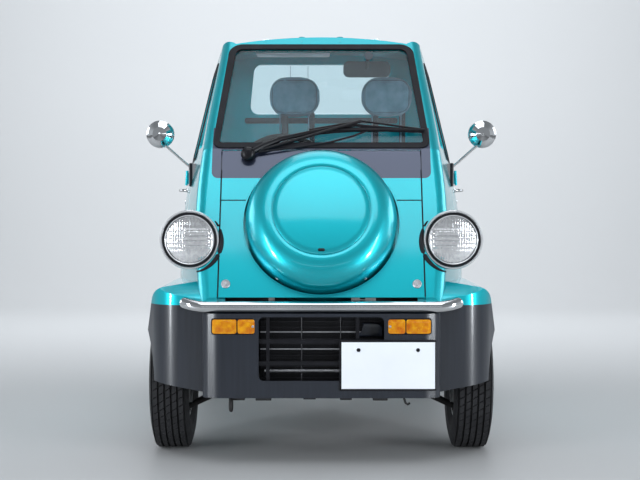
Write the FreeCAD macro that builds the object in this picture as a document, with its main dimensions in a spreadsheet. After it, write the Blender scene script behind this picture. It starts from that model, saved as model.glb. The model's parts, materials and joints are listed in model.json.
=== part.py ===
import FreeCAD, Part
import math
import os

import Sketcher
from FreeCAD import Placement, Rotation, Vector

# Kei pickup, front towards -Y, its left side towards +X, standing on z = 0.
# The origin is at the middle of the ground rectangle that it covers.

os.makedirs("parts", exist_ok=True)
doc = FreeCAD.newDocument("KeiPickup")
sheet = doc.addObject("Spreadsheet::Sheet", "Sizes")
ACROSS = Vector(1, 0, 0)
ALONG = Vector(0, 1, 0)
UP = Vector(0, 0, 1)


class Size:
    """A size that carries its number and the expression that ties it to the sheet."""

    def __init__(self, number, text):
        self.number = number
        self.text = text

    def __add__(self, other):
        other = as_size(other)
        return Size(self.number + other.number, f"({self.text} + {other.text})")

    def __radd__(self, other):
        return as_size(other) + self

    def __sub__(self, other):
        other = as_size(other)
        return Size(self.number - other.number, f"({self.text} - {other.text})")

    def __rsub__(self, other):
        return as_size(other) - self

    def __mul__(self, factor):
        return Size(self.number * factor, f"({self.text} * {factor})")

    def __rmul__(self, factor):
        return self * factor

    def __truediv__(self, factor):
        return Size(self.number / factor, f"({self.text} / {factor})")

    def __neg__(self):
        return Size(-self.number, f"(0 - {self.text})")

    def __float__(self):
        return float(self.number)


def as_size(value):
    """A plain number as a size that is tied to nothing."""
    return value if isinstance(value, Size) else Size(value, f"({value})")


rows = []


def driving(alias, number):
    """Writes a driving dimension into the next row of the sheet and returns it."""
    rows.append(alias)
    row = len(rows)
    sheet.set(f"A{row}", alias.replace("_", " "))
    sheet.set(f"B{row}", str(number))
    sheet.setAlias(f"B{row}", alias)
    return Size(number, f"Sizes.{alias}")


# Whole vehicle
overall_length = driving("overall_length", 2790)
overall_width = driving("overall_width", 1295)
wheelbase = driving("wheelbase", 1840)
front_overhang = driving("front_overhang", 460)
clearance = driving("moving_clearance", 6)
seat_gap = driving("seating_gap", 0.3)

nose_tip = -overall_length / 2
tail_end = overall_length / 2
front_axle = nose_tip + front_overhang
rear_axle_y = front_axle + wheelbase
half_width = overall_width / 2

# Wheels
tyre_radius = driving("tyre_radius", 268.5)
tyre_width = driving("tyre_width", 146)
rim_radius = driving("rim_radius", 152)
front_track = driving("front_track", 1130)
rear_track = driving("rear_track", 1110)
arch_radius = driving("arch_radius", 306)
rear_arch_radius = driving("rear_arch_radius", 292)
well_inner = driving("wheel_well_inner", 345)

# Cab skin: half widths at three stations along the cab, and the heights they are taken at
sill_height = driving("sill_height", 380)
belt_low = driving("belt_low_height", 640)
belt_mid = driving("belt_mid_height", 915)
belt_top = driving("belt_top_height", 1170)
rail_height = driving("roof_rail_height", 1572)
cab_rear = driving("cab_rear", 130)
mid_station = driving("mid_station", -600)
wall = driving("wall_thickness", 32)
nose_bottom = driving("nose_bottom_height", 600)
nose_foot = driving("nose_foot_setback", 66)
cowl_height = driving("cowl_height", 1142)
cowl_y = driving("cowl_y", -1070)
screen_top_height = driving("screen_top_height", 1573)
screen_top_y = driving("screen_top_y", -700)
nose_round = driving("nose_edge_radius", 42)

FRONT_HALVES = (415, 415, 412, 385, 322)
MIDDLE_HALVES = (572, 572, 552, 499, 404)
REAR_HALVES = (630, 634, 622, 580, 482)
ROOF_CROWNS = (1470, 1614, 1648)
ROOF_DROP = 26

# Helpers for the document's objects
nodes = []


def node(name, item):
    """Marks a finished object as a sub-part: its label names its file."""
    item.Label = name
    nodes.append(item)
    return item


def bind(item, prop, value):
    """Sets a property from a size, through its expression where it has one."""
    size = as_size(value)
    item.setExpression(prop, size.text)


def bind_place(item, x, y, z):
    bind(item, "Placement.Base.x", x)
    bind(item, "Placement.Base.y", y)
    bind(item, "Placement.Base.z", z)


def box(name, x, y, z):
    """A box between two limits along each axis."""
    item = doc.addObject("Part::Box", name)
    bind(item, "Length", x[1] - x[0])
    bind(item, "Width", y[1] - y[0])
    bind(item, "Height", z[1] - z[0])
    bind_place(item, x[0], y[0], z[0])
    return item


def rod(name, radius, start, direction, length):
    """A cylinder from a start point along a direction."""
    item = doc.addObject("Part::Cylinder", name)
    item.Placement = Placement(Vector(), Rotation(UP, direction))
    bind(item, "Radius", radius)
    bind(item, "Height", length)
    bind_place(item, *start)
    return item


def fused(name, *parts):
    item = doc.addObject("Part::MultiFuse", name)
    item.Shapes = list(parts)
    item.Refine = True
    return item


def grouped(name, *parts):
    """Solids that don't touch, kept as one sub-part."""
    item = doc.addObject("Part::Compound", name)
    item.Links = list(parts)
    return item


def cut(name, base, *tools):
    item = doc.addObject("Part::Cut", name)
    item.Base = base
    item.Tool = tools[0] if len(tools) == 1 else fused(name + "Tools", *tools)
    item.Refine = True
    return item


def common(name, base, tool):
    item = doc.addObject("Part::Common", name)
    item.Base = base
    item.Tool = tool
    return item


def mirrored(name, source):
    """The same piece on the other side of the vehicle."""
    item = doc.addObject("Part::Mirroring", name)
    item.Source = source
    item.Normal = ACROSS
    return item


def both_sides(name, source):
    return grouped(name, source, mirrored(name + "Right", source))


def rounded(name, base, radius, keep=lambda edge: True):
    """A fillet of one radius on the edges that keep accepts."""
    doc.recompute()
    item = doc.addObject("Part::Fillet", name)
    item.Base = base
    chosen = [i + 1 for i, edge in enumerate(base.Shape.Edges) if keep(edge)]
    item.Edges = [(i, float(radius), float(radius)) for i in chosen]
    return item


def shaped(name, shape):
    """A free form, set by Part's own functions."""
    item = doc.addObject("Part::Feature", name)
    item.Shape = shape
    return item


def origin_plane(body, role):
    return next(item for item in body.Origin.OriginFeatures if item.Role == role)


def sketched(body, name, role, corners):
    """A closed sketch of straight runs whose corners are tied to the sheet."""
    sketch = body.newObject("Sketcher::SketchObject", name)
    sketch.AttachmentSupport = (origin_plane(body, role), [""])
    sketch.MapMode = "FlatFace"
    spots = [Vector(float(u), float(v), 0) for u, v in corners]
    count = len(spots)
    for i, spot in enumerate(spots):
        sketch.addGeometry(Part.LineSegment(spot, spots[(i + 1) % count]))
    for i in range(count):
        sketch.addConstraint(Sketcher.Constraint("Coincident", i, 2, (i + 1) % count, 1))
    for i, corner in enumerate(corners):
        for kind, line, value in (("DistanceX", -2, corner[0]), ("DistanceY", -1, corner[1])):
            size = as_size(value)
            if abs(size.number) < 1e-9:
                sketch.addConstraint(Sketcher.Constraint("PointOnObject", i, 1, line))
                continue
            index = sketch.addConstraint(Sketcher.Constraint(kind, -1, 1, i, 1, size.number))
            sketch.setExpression(f"Constraints[{index}]", size.text)
    return sketch


def turned(name, corners, direction=UP, place=(0, 0, 0)):
    """A body of revolution: corners are (radius, height) and the axis points in direction."""
    body = doc.addObject("PartDesign::Body", name)
    sketch = sketched(body, name + "Profile", "XZ_Plane", corners)
    solid = body.newObject("PartDesign::Revolution", name + "Turn")
    solid.Profile = sketch
    solid.ReferenceAxis = (sketch, ["V_Axis"])
    solid.Angle = 360
    body.Tip = solid
    body.Placement = Placement(Vector(), Rotation(UP, direction))
    bind_place(body, *place)
    return body


def padded(name, role, corners, length, place=(0, 0, 0)):
    """A pad of a straight-sided outline, half its length to each side of the plane."""
    body = doc.addObject("PartDesign::Body", name)
    sketch = sketched(body, name + "Outline", role, corners)
    solid = body.newObject("PartDesign::Pad", name + "Pad")
    solid.Profile = sketch
    bind(solid, "Length", length)
    solid.Midplane = True
    body.Tip = solid
    bind_place(body, *place)
    return body


def round_corners(corners):
    """A closed wire through (point, radius) corners, with a tangent arc at each."""
    arcs = []
    count = len(corners)
    for i, (corner, radius) in enumerate(corners):
        back = (corners[i - 1][0] - corner).normalize()
        ahead = (corners[(i + 1) % count][0] - corner).normalize()
        if radius == 0:
            arcs.append((corner, None, corner))
            continue
        half_turn = back.getAngle(ahead) / 2
        reach = radius / math.tan(half_turn)
        centre = corner + (back + ahead).normalize() * (radius / math.sin(half_turn))
        crest = centre + (corner - centre).normalize() * radius
        arcs.append((corner + back * reach, crest, corner + ahead * reach))
    edges = []
    for i, (start, crest, end) in enumerate(arcs):
        if crest is not None:
            edges.append(Part.Arc(start, crest, end).toShape())
        following = arcs[(i + 1) % count][0]
        if (following - end).Length > 1e-6:
            edges.append(Part.makeLine(end, following))
    return Part.Wire(edges)


def slab(corners, direction):
    """A prism on a wire of (point, radius) corners."""
    return Part.Face(round_corners(corners)).extrude(direction)


def block(x, y, z):
    """A plain box shape between two limits along each axis."""
    low = Vector(float(x[0]), float(y[0]), float(z[0]))
    high = Vector(float(x[1]), float(y[1]), float(z[1]))
    size = high - low
    return Part.makeBox(size.x, size.y, size.z, low)


def drum(radius, y, z, x):
    """A cylinder shape across the vehicle."""
    length = float(x[1]) - float(x[0])
    return Part.makeCylinder(float(radius), length, Vector(float(x[0]), float(y), float(z)), ACROSS)


def flipped(shape):
    """The mirror image of a shape on the other side of the vehicle."""
    return shape.mirror(Vector(), ACROSS)


def largest(shape):
    """The main solid of a shape, without slivers."""
    return max(shape.Solids, key=lambda solid: solid.Volume)


def side_pair(shape):
    return [shape, flipped(shape)]

# Cab skin: a loft over the stations, cut by the side profile


def cab_section(y, halves, crown, inset):
    """The cab's cross-section at one station, moved inwards by inset."""
    heights = [float(sill_height) + inset, float(belt_low), float(belt_mid)]
    heights += [float(belt_top), float(rail_height)]
    flank = [Vector(half - inset, y, height) for half, height in zip(halves, heights)]
    rail = flank[-1]
    roof_edge = Vector(rail.x - SHOULDER_REACH, y, crown - ROOF_DROP - inset)
    bulge = Vector(rail.x - SHOULDER_REACH * 0.35, y, (rail.z + roof_edge.z) / 2 + SHOULDER_BULGE)
    crest = Vector(0, y, crown - inset)
    edges = []
    for sign in (1, -1):
        mirror = [Vector(sign * p.x, p.y, p.z) for p in flank]
        corner = Vector(sign * roof_edge.x, y, roof_edge.z)
        top = Vector(sign * bulge.x, y, bulge.z)
        side = Part.BSplineCurve()
        side.interpolate(mirror if sign == 1 else mirror[::-1])
        shoulder = Part.Arc(mirror[-1], top, corner).toShape()
        if sign == 1:
            edges += [side.toShape(), shoulder]
            edges.append(Part.Arc(corner, crest, Vector(-corner.x, y, corner.z)).toShape())
        else:
            edges += [Part.Arc(corner, top, mirror[-1]).toShape(), side.toShape()]
            edges.append(Part.makeLine(mirror[0], flank[0]))
    return Part.Wire(edges)


def cab_profile(inset):
    """The cab's side outline, nose and windscreen included, as a face across x = 0."""
    nose_y = float(nose_tip + nose_foot)
    screen_slope = float(screen_top_y - cowl_y) / float(screen_top_height - cowl_height)
    over_roof = float(rail_height) + 150
    over_y = float(screen_top_y) + screen_slope * (over_roof - float(screen_top_height))
    corners = [
        (Vector(0, nose_y, float(sill_height)), 0),
        (Vector(0, nose_y, float(nose_bottom)), 0),
        (Vector(0, float(cowl_y), float(cowl_height)), 0),
        (Vector(0, over_y, over_roof), 0),
        (Vector(0, float(cab_rear), over_roof), 0),
        (Vector(0, float(cab_rear), float(sill_height)), 0),
    ]
    face = Part.Face(round_corners(corners))
    return face.makeOffset2D(-inset, 2) if inset else face


def cab_form(inset):
    """The closed outer form of the cab and nose, moved inwards by inset."""
    stations = (float(nose_tip) - 5, float(mid_station), float(cab_rear) + 20)
    halves = (FRONT_HALVES, MIDDLE_HALVES, REAR_HALVES)
    sections = [cab_section(y, h, c, inset) for y, h, c in zip(stations, halves, ROOF_CROWNS)]
    skin = Part.makeLoft(sections, True, False)
    profile = cab_profile(inset)
    profile.translate(Vector(-700, 0, 0))
    form = skin.common(profile.extrude(Vector(1400, 0, 0))).Solids[0]
    slim = float(nose_round) - inset
    if slim < SLIMMEST_ROUND:
        return form
    form = form.makeFillet(slim, [e for e in form.Edges if is_front_edge(e)])
    return form.makeFillet(slim, [e for e in form.Edges if is_rear_edge(e)])


def is_front_edge(edge):
    """The long edges from the nose up the windscreen pillars."""
    reach = edge.BoundBox
    return reach.YMax < float(mid_station) and reach.YLength > 200 and reach.XLength < 100


def is_rear_edge(edge):
    reach = edge.BoundBox
    return reach.YMin > 60 and reach.ZLength > 800 and reach.XLength < 250


SLIMMEST_ROUND = 12
SHOULDER_REACH = 52
SHOULDER_BULGE = 10
# Panel seams and openings of the cab
hinge_y = driving("door_hinge_y", -620)
door_rear = driving("door_rear_y", 30)
door_foot = driving("door_foot_height", 440)
door_head = driving("door_head_height", 1546)
door_thickness = driving("door_thickness", 50)
door_rear_gap = driving("door_rear_gap", 10.5)
door_top_gap = driving("door_top_gap", 8.5)
window_foot = driving("window_foot_height", 1128)
window_frame = driving("window_frame_width", 44)
glass_thickness = driving("glass_thickness", 5)
glass_depth = driving("glass_depth", 14)
panel_seam = driving("panel_seam", 4)
panel_thickness = driving("panel_thickness", 25)
panel_lap = driving("panel_lap", 24)
nose_panel_half = driving("nose_panel_half_width", 370)
seam_height = driving("nose_seam_height", 948)
grille_half = driving("grille_half_width", 222)
rear_window_half = driving("rear_window_half_width", 327)
rear_window_foot = driving("rear_window_foot", 1345)
rear_window_head = driving("rear_window_head", 1572)
rear_window_taper = driving("rear_window_taper", 22)
screen_foot_half = driving("screen_foot_half_width", 398)
screen_head_half = driving("screen_head_half_width", 352)
gasket_width = driving("gasket_width", 26)
FAR = 800


def across_slab(corners, low=-FAR, high=FAR):
    """A prism across the vehicle on ((y, z), radius) corners."""
    spots = [(Vector(low, float(y), float(z)), radius) for (y, z), radius in corners]
    return slab(spots, Vector(high - low, 0, 0))


def door_outline(gaps):
    """The door's side outline, smaller than its opening by the gaps at each edge."""
    front, foot, rear, head = gaps
    return [
        ((float(hinge_y) - clearance.number + front, float(door_foot) - clearance.number + foot), 30),
        ((float(door_rear) + door_rear_gap.number - rear, float(door_foot) - clearance.number + foot), 30),
        ((float(door_rear) + door_rear_gap.number - rear, float(door_head) + door_top_gap.number - head), 34),
        ((float(hinge_y) - clearance.number + front, float(door_head) + door_top_gap.number - head), 34),
    ]


def window_outline(grow):
    """The door window's side outline, grown outwards."""
    frame = window_frame.number - grow
    return [
        ((float(hinge_y) + frame, float(window_foot) - grow), 26),
        ((float(door_rear) - frame, float(window_foot) - grow), 26),
        ((float(door_rear) - frame, float(door_head) - frame), 40),
        ((float(hinge_y) + frame, float(door_head) - frame), 40),
    ]


def quarter_outline(grow):
    """The fixed three-cornered window between the door and the windscreen pillar."""
    slope = (screen_top_y.number - cowl_y.number) / (screen_top_height.number - cowl_height.number)
    foot = float(window_foot) + 24 - grow
    rear = float(hinge_y) - 46 + grow
    front = float(cowl_y) + 118 - 1.6 * grow
    head = foot + (rear - front) / slope
    return [((front, foot), 16), ((rear, foot), 22), ((rear, head), 14)]


screen_run = math.hypot(screen_top_y.number - cowl_y.number, screen_top_height.number - cowl_height.number)
SCREEN_UP = Vector(0, screen_top_y.number - cowl_y.number, screen_top_height.number - cowl_height.number) / screen_run
SCREEN_OUT = ACROSS.cross(SCREEN_UP)
SCREEN_FOOT = Vector(0, float(cowl_y), float(cowl_height))
SCREEN_START = 12
SCREEN_END = 16


def screen_prism(grow, outward, inward):
    """A prism on the windscreen's outline, between two depths from its outer plane."""
    spots = []
    top = screen_run - SCREEN_END + grow
    foot_half = screen_foot_half.number + grow
    head_half = screen_head_half.number + grow
    outline = (
        (-foot_half, SCREEN_START - grow, 26 + grow),
        (foot_half, SCREEN_START - grow, 26 + grow),
        (head_half, top, 46 + grow),
        (-head_half, top, 46 + grow),
    )
    for x, run, radius in outline:
        spot = SCREEN_FOOT + ACROSS * x + SCREEN_UP * run + SCREEN_OUT * outward
        spots.append((spot, radius))
    return slab(spots, SCREEN_OUT * (-outward - inward))


def rear_window_prism(grow, low, high):
    """A prism on the rear window's outline, from y = low to y = high."""
    half = rear_window_half.number + grow
    head_half = half - rear_window_taper.number
    foot = rear_window_foot.number - grow
    head = rear_window_head.number + grow
    outline = ((-half, foot), (half, foot), (head_half, head), (-head_half, head))
    spots = [(Vector(x, low, z), 38 + grow) for x, z in outline]
    return slab(spots, Vector(0, high - low, 0))


# Spare wheel on the nose: its axis leans back with the nose face
nose_lean = math.atan2(cowl_y.number - float(nose_tip + nose_foot), cowl_height.number - nose_bottom.number)
SPARE_OUT = Vector(0, -math.cos(nose_lean), math.sin(nose_lean))
SPARE_UP = Vector(0, math.sin(nose_lean), math.cos(nose_lean))
spare_radius = driving("spare_cover_radius", 276)
spare_height = driving("spare_height", 868)
spare_well_gap = driving("spare_well_gap", 10)
spare_well_depth = driving("spare_well_depth", 92)
spare_face = driving("spare_face_reach", 105)
well_skin = driving("well_skin", 5)
spare_run = (spare_height.number - nose_bottom.number) / math.cos(nose_lean)
SPARE_CENTRE = Vector(0, float(nose_tip + nose_foot), float(nose_bottom)) + SPARE_UP * spare_run


def on_spare_axis(radius, low, high):
    """A cylinder shape on the spare's axis, between two reaches in front of the nose face."""
    return Part.makeCylinder(radius, high - low, SPARE_CENTRE + SPARE_OUT * low, SPARE_OUT)


# Wheel wells and arches
WELL = drum(arch_radius, front_axle, tyre_radius, (well_inner, FAR))
WELLS = WELL.fuse(flipped(WELL))

# Cab: shell, roof, doors, nose and cowl panels
roof_seam = driving("roof_seam_height", 1566)
OUTER_FORM = cab_form(0)
INNER_FORM = cab_form(float(wall))
SHELL = OUTER_FORM.cut(INNER_FORM)
DOOR_WALL = OUTER_FORM.cut(cab_form(float(door_thickness)))

DOOR_HOLE = across_slab(door_outline((0, 0, 0, 0)), 300, FAR)
QUARTER_HOLE = across_slab(quarter_outline(0), 300, FAR)
lamp_x = driving("headlamp_x", 480)
lamp_height = driving("headlamp_height", 804)
lamp_front = driving("headlamp_front", -1235)
pod_radius = driving("headlamp_pod_radius", 102)
rim_outer = driving("lamp_rim_radius", 108.5)
pod_length = driving("headlamp_pod_length", 190)
pod_face_y = lamp_front.number + 18


def lamp_drum(radius, start, end, tail=None):
    """A cylinder or a cone shape round a headlamp's axis, between two depths behind its face."""
    foot = Vector(lamp_x.number, pod_face_y + start, lamp_height.number)
    if tail is None:
        return Part.makeCylinder(radius, end - start, foot, ALONG)
    return Part.makeCone(radius, tail, end - start, foot, ALONG)


pod_grown = pod_radius.number + 1
straight = pod_length.number - 80
LAMP_POCKET = lamp_drum(pod_grown, -70, straight).fuse([
    lamp_drum(pod_grown, straight, straight + 50, pod_grown - 14),
    lamp_drum(pod_grown - 14, straight + 50, straight + 80, pod_grown - 46),
    lamp_drum(rim_outer.number + 1, -70, 1),
])
NOSE_HOLE = block((-nose_panel_half - panel_seam, nose_panel_half + panel_seam),
                  (nose_tip, -1000), (nose_bottom - 300, cowl_height - panel_seam)).cut(cab_form(float(panel_thickness)))
NOSE_SPACE = block((-nose_panel_half + panel_lap, nose_panel_half - panel_lap),
                   (nose_tip, -1000), (nose_bottom - 300, cowl_height - panel_lap))
SPARE_HOLE = on_spare_axis(spare_radius.number + spare_well_gap.number + well_skin.number + seat_gap.number, -120, 60)
FLOOR_LEVEL = float(sill_height) + float(wall)
bumper_half = driving("bumper_half_width", 423)
bumper_face_y = driving("bumper_face_y", -1388)
bumper_foot = driving("bumper_foot_height", 247)
bumper_head = driving("bumper_head_height", 546)
bumper_depth = driving("bumper_depth", 96)
flare_lap = driving("flare_lap", 22)
BUMPER_SPACE = block((-bumper_half - flare_lap, bumper_half + flare_lap),
                     (-1500, bumper_face_y + bumper_depth + seat_gap), (200, bumper_head + seat_gap))
ROOF_SPACE = block((-FAR, FAR), (-1500, 300), (roof_seam, 1800))

shell = SHELL.cut([
    DOOR_HOLE, flipped(DOOR_HOLE), QUARTER_HOLE, flipped(QUARTER_HOLE), WELLS, NOSE_HOLE, NOSE_SPACE,
    LAMP_POCKET, flipped(LAMP_POCKET), ROOF_SPACE, screen_prism(0, 60, 120),
    rear_window_prism(0, float(cab_rear) - 80, float(cab_rear) + 60),
    block((-float(well_inner), float(well_inner)), (-1500, float(cab_rear) + 60), (300, FLOOR_LEVEL)),
    SPARE_HOLE, BUMPER_SPACE,
])
node("cab_shell", shaped("CabShell", shell))
REAR_WINDOW_HOLE = rear_window_prism(0, float(cab_rear) - 80, float(cab_rear) + 60)
roof = SHELL.common(ROOF_SPACE).cut([screen_prism(0, 60, 120), REAR_WINDOW_HOLE])
node("roof_panel", shaped("RoofPanel", roof))

PANEL_WALL = OUTER_FORM.cut(cab_form(panel_thickness.number - seat_gap.number))
nose_wall = PANEL_WALL.common(block((-nose_panel_half, nose_panel_half), (nose_tip, -1000),
                                    (nose_bottom, cowl_height - 2 * panel_seam)))
SEAM = block((-FAR, FAR), (-1500, -900), (seam_height - panel_seam / 2, seam_height + panel_seam / 2))
nose_wall = nose_wall.cut([SEAM, SPARE_HOLE])
lower = block((-FAR, FAR), (-1500, -900), (0, seam_height))
node("nose_panel", shaped("NosePanel", nose_wall.common(lower)))
node("cowl_panel", shaped("CowlPanel", nose_wall.cut(lower)))

well_outer = on_spare_axis(spare_radius.number + spare_well_gap.number + well_skin.number, -spare_well_depth.number - well_skin.number, 120)
well_inner_space = on_spare_axis(spare_radius.number + spare_well_gap.number, -spare_well_depth.number, 140)
spare_well = well_outer.cut(well_inner_space).common(OUTER_FORM)
node("spare_well", shaped("SpareWell", spare_well))

DOOR = DOOR_WALL.common(across_slab(door_outline((clearance.number, clearance.number, door_rear_gap.number, door_top_gap.number)), 300, FAR))
DOOR = DOOR.cut([across_slab(window_outline(0), 300, FAR), WELL])

# Hinge pins on the door's tilted axis, seated in the gap ahead of the door
hinge_x = driving("door_hinge_x", 570)
hinge_lean = driving("door_hinge_lean_deg", 3.2)
pin_radius = driving("hinge_pin_radius", 5.7)
HINGE_AXIS = Vector(-math.sin(math.radians(hinge_lean.number)), 0, math.cos(math.radians(hinge_lean.number)))
HINGE_FOOT = Vector(hinge_x.number, float(hinge_y), belt_low.number)
pins = []
for height in (548, 1010):
    foot = HINGE_FOOT + HINGE_AXIS * ((height - HINGE_FOOT.z) / HINGE_AXIS.z)
    pin = Part.makeCylinder(pin_radius.number, 60, foot, HINGE_AXIS)
    tongue = block((foot.x - 26, foot.x + 2), (hinge_y, hinge_y + 14), (height + 6, height + 52))
    pins.append(pin.fuse(tongue))
DOOR = largest(DOOR).fuse(pins)
left_door = shaped("DoorLeft", DOOR)
node("door_left", left_door)
node("door_right", mirrored("DoorRight", left_door))

GLASS_WALL = cab_form(glass_depth.number).cut(cab_form(glass_depth.number + glass_thickness.number))
left_glass = shaped("DoorGlassLeft", GLASS_WALL.common(across_slab(window_outline(-seat_gap.number), 300, FAR)))
node("door_glass_left", left_glass)
node("door_glass_right", mirrored("DoorGlassRight", left_glass))
QUARTER_GLASS = GLASS_WALL.common(across_slab(quarter_outline(-seat_gap.number), 300, FAR))
node("quarter_windows", shaped("QuarterWindows", Part.makeCompound(side_pair(QUARTER_GLASS))))
node("windscreen", shaped("Windscreen", screen_prism(-seat_gap.number, -1, 1 + glass_thickness.number)))
gasket = screen_prism(gasket_width.number * 0.45, 6, 0).cut(screen_prism(-gasket_width.number * 0.55, 10, 10))
node("windscreen_gasket", shaped("WindscreenGasket", gasket))
rear_pane = rear_window_prism(-seat_gap.number, float(cab_rear) - 12, float(cab_rear) - 12 + glass_thickness.number)
node("rear_window", shaped("RearWindow", rear_pane))

# Front fenders and flares: one hump a side, split where the dark plastic meets the paint
flare_split = driving("flare_split_height", 571)
flare_skin = driving("flare_skin", 10)
flare_foot = driving("flare_foot_height", 260)
flare_rise = driving("flare_foot_rise", 66)
fender_rear = driving("fender_rear_y", -629)
fender_crown = driving("fender_crown_height", 672)
fender_lean = driving("fender_lean", 34)
bumper_skin = driving("bumper_skin", 10)


def hump(inset):
    """A front wheel's outer form: its plan, its cross-section and its side outline in one."""
    side = half_width.number - inset
    front = nose_tip.number + 76 + inset
    rear = fender_rear.number
    crown = fender_crown.number - inset
    low = 200
    plan = slab([
        (Vector(330, front - 8, low), 0), (Vector(585, front + 22, low), 118 - inset),
        (Vector(side, front + 170, low), 60), (Vector(side, rear, low), 0), (Vector(330, rear, low), 0),
    ], UP * 600)
    section = slab([
        (Vector(330, -1500, low), 0), (Vector(side, -1500, low), 0), (Vector(side, -1500, 430), 200),
        (Vector(side - fender_lean.number, -1500, crown - 44), 62 - inset), (Vector(330, -1500, crown), 0),
    ], ALONG * 1000)
    outline = across_slab([
        ((front - 20, low), 0), ((front - 4, crown - 76), 70 - inset), ((front + 110, crown), 130 - inset),
        ((rear - 60, crown), 40), ((rear, crown - 70), 0), ((rear, low), 0),
    ], 300, FAR)
    return plan.common(section).common(outline)


HUMP = hump(0).cut(hump(flare_skin.number).fuse(block((320, bumper_half), (-1500, fender_rear), (100, 560))))
HUMP = HUMP.cut([OUTER_FORM.cut(BUMPER_SPACE), WELL, LAMP_POCKET])
PAINTED = block((0, FAR), (-1500, 0), (flare_split, 900))
flare_inner = float(bumper_half + seat_gap)
FLARE_SPACE = slab([
    (Vector(flare_inner, -1500, flare_foot.number), 0), (Vector(FAR, -1500, flare_foot.number + flare_rise.number), 0),
    (Vector(FAR, -1500, flare_split.number), 0), (Vector(flare_inner, -1500, flare_split.number), 0),
], ALONG * 1500)


fender = largest(HUMP.common(PAINTED))
node("front_fenders", shaped("FrontFenders", Part.makeCompound(side_pair(fender))))
flare = largest(HUMP.common(FLARE_SPACE))
node("front_flares", shaped("FrontFlares", Part.makeCompound(side_pair(flare))))

# Bumper face: a hollow moulding with the grille's opening and the two lamp pockets
indicator_x = driving("indicator_x", 314)
indicator_height = driving("indicator_height", 501)
indicator_width = driving("indicator_width", 153)
indicator_tall = driving("indicator_tall", 58)
grille_foot = driving("grille_foot_height", 308)
grille_head = driving("grille_head_height", 534)
grille_bar = driving("grille_bar_height", 15)


def bumper_form(inset):
    half = bumper_half.number - inset
    face = bumper_face_y.number + inset
    back = bumper_face_y.number + bumper_depth.number
    low = bumper_foot.number + inset
    spots = [
        (Vector(-half, back, low), 0), (Vector(-half, face + 22, low), 34 - inset),
        (Vector(-half + 52, face, low), 60 - inset), (Vector(half - 52, face, low), 60 - inset),
        (Vector(half, face + 22, low), 34 - inset), (Vector(half, back, low), 0),
    ]
    return slab(spots, UP * (bumper_head.number - inset - low))


def front_opening(half, low, high, radius, x=0):
    """A prism through the bumper face on a rounded rectangle."""
    spots = [(Vector(x + sx, -1420, z), radius) for sx, z in ((-half, low), (half, low), (half, high), (-half, high))]
    return slab(spots, ALONG * 200)


lamp_low = indicator_height.number - indicator_tall.number / 2
lamp_high = indicator_height.number + indicator_tall.number / 2
lamp_half = indicator_width.number / 2
bumper = bumper_form(0).cut(bumper_form(bumper_skin.number))
openings = [front_opening(grille_half.number, grille_foot.number, grille_head.number, 18)]
openings += [front_opening(lamp_half, lamp_low, lamp_high, 8, side * indicator_x.number) for side in (1, -1)]
node("bumper_face", shaped("BumperFace", bumper.cut(openings)))

lamps = []
for side in (1, -1):
    glass = front_opening(lamp_half - seat_gap.number, lamp_low + seat_gap.number, lamp_high - seat_gap.number,
                          8, side * indicator_x.number)
    lamps.append(glass.common(block((-FAR, FAR), (bumper_face_y + 1, bumper_face_y + 26), (0, 900))))
node("indicator_lamps", shaped("IndicatorLamps", Part.makeCompound(lamps)))

grille_y = bumper_face_y + bumper_skin + seat_gap
bars = []
for index, height in enumerate((driving("upper_bar_height", 447), driving("lower_bar_height", 369))):
    bars.append(box(f"GrilleBar{index}", (-grille_half - 18, grille_half + 18), (grille_y, grille_y + 12),
                    (height - grille_bar / 2, height + grille_bar / 2)))
for index, spot in enumerate((-196, 122)):
    bars.append(box(f"GrillePost{index}", (as_size(spot), as_size(spot) + 12), (grille_y + 4, grille_y + 18),
                    (grille_foot - 12, bumper_head - bumper_skin - seat_gap)))
node("grille_bars", fused("GrilleBars", *bars))

# Radiator in its frame behind the grille
radiator_y = driving("radiator_y", -1284)
radiator_core = box("RadiatorCore", (-grille_half, grille_half), (radiator_y, radiator_y + 34),
                    (grille_foot - 10, grille_head + 2))
tank_top = box("RadiatorTop", (-grille_half - 12, grille_half + 12), (radiator_y - 6, radiator_y + 40),
               (grille_head + 2, grille_head + 24))
tank_foot = box("RadiatorFoot", (-grille_half - 12, grille_half + 12), (radiator_y - 6, radiator_y + 40),
                (grille_foot - 36, grille_foot - 10))
node("radiator", fused("Radiator", radiator_core, tank_top, tank_foot))

# Chrome bar: straight across, its ends wrapped round the corners
bar_radius = driving("bar_radius", 21)
bar_y = driving("bar_y", -1360)
bar_height = bumper_head + bar_radius + seat_gap
bar_straight = driving("bar_straight_half", 402)
bar_end_x = driving("bar_end_x", 486)
bar_end_y = driving("bar_end_y", -1337)
bar_end_lift = driving("bar_end_lift", 12)


def bar_bend():
    """The bar's left end: a bend that leaves the straight run smoothly, closed by a round cap."""
    start = Vector(bar_straight.number, bar_y.number, bar_height.number)
    tip = Vector(bar_end_x.number, bar_end_y.number, start.z + bar_end_lift.number)
    chord = tip - start
    aside = (chord - ACROSS * chord.x).normalize()
    half_turn = ACROSS.getAngle(chord) / 2
    reach = chord.Length / (2 * math.cos(half_turn))
    middle = start + (ACROSS * math.cos(half_turn) + aside * math.sin(half_turn)) * reach
    arc = Part.Arc(start, middle, tip).toShape()
    section = Part.Face(Part.Wire(Part.makeCircle(bar_radius.number, start, ACROSS)))
    sweep = math.degrees(arc.LastParameter - arc.FirstParameter)
    bend = section.revolve(arc.Curve.Center, arc.Curve.Axis, sweep)
    return bend.fuse(Part.makeSphere(bar_radius.number, tip))


bar_run = drum(bar_radius, bar_y, bar_height, (-bar_straight, bar_straight))
bar_solid = bar_run.fuse(side_pair(bar_bend())).removeSplitter()
node("bumper_bar", shaped("BumperBar", bar_solid))

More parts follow.
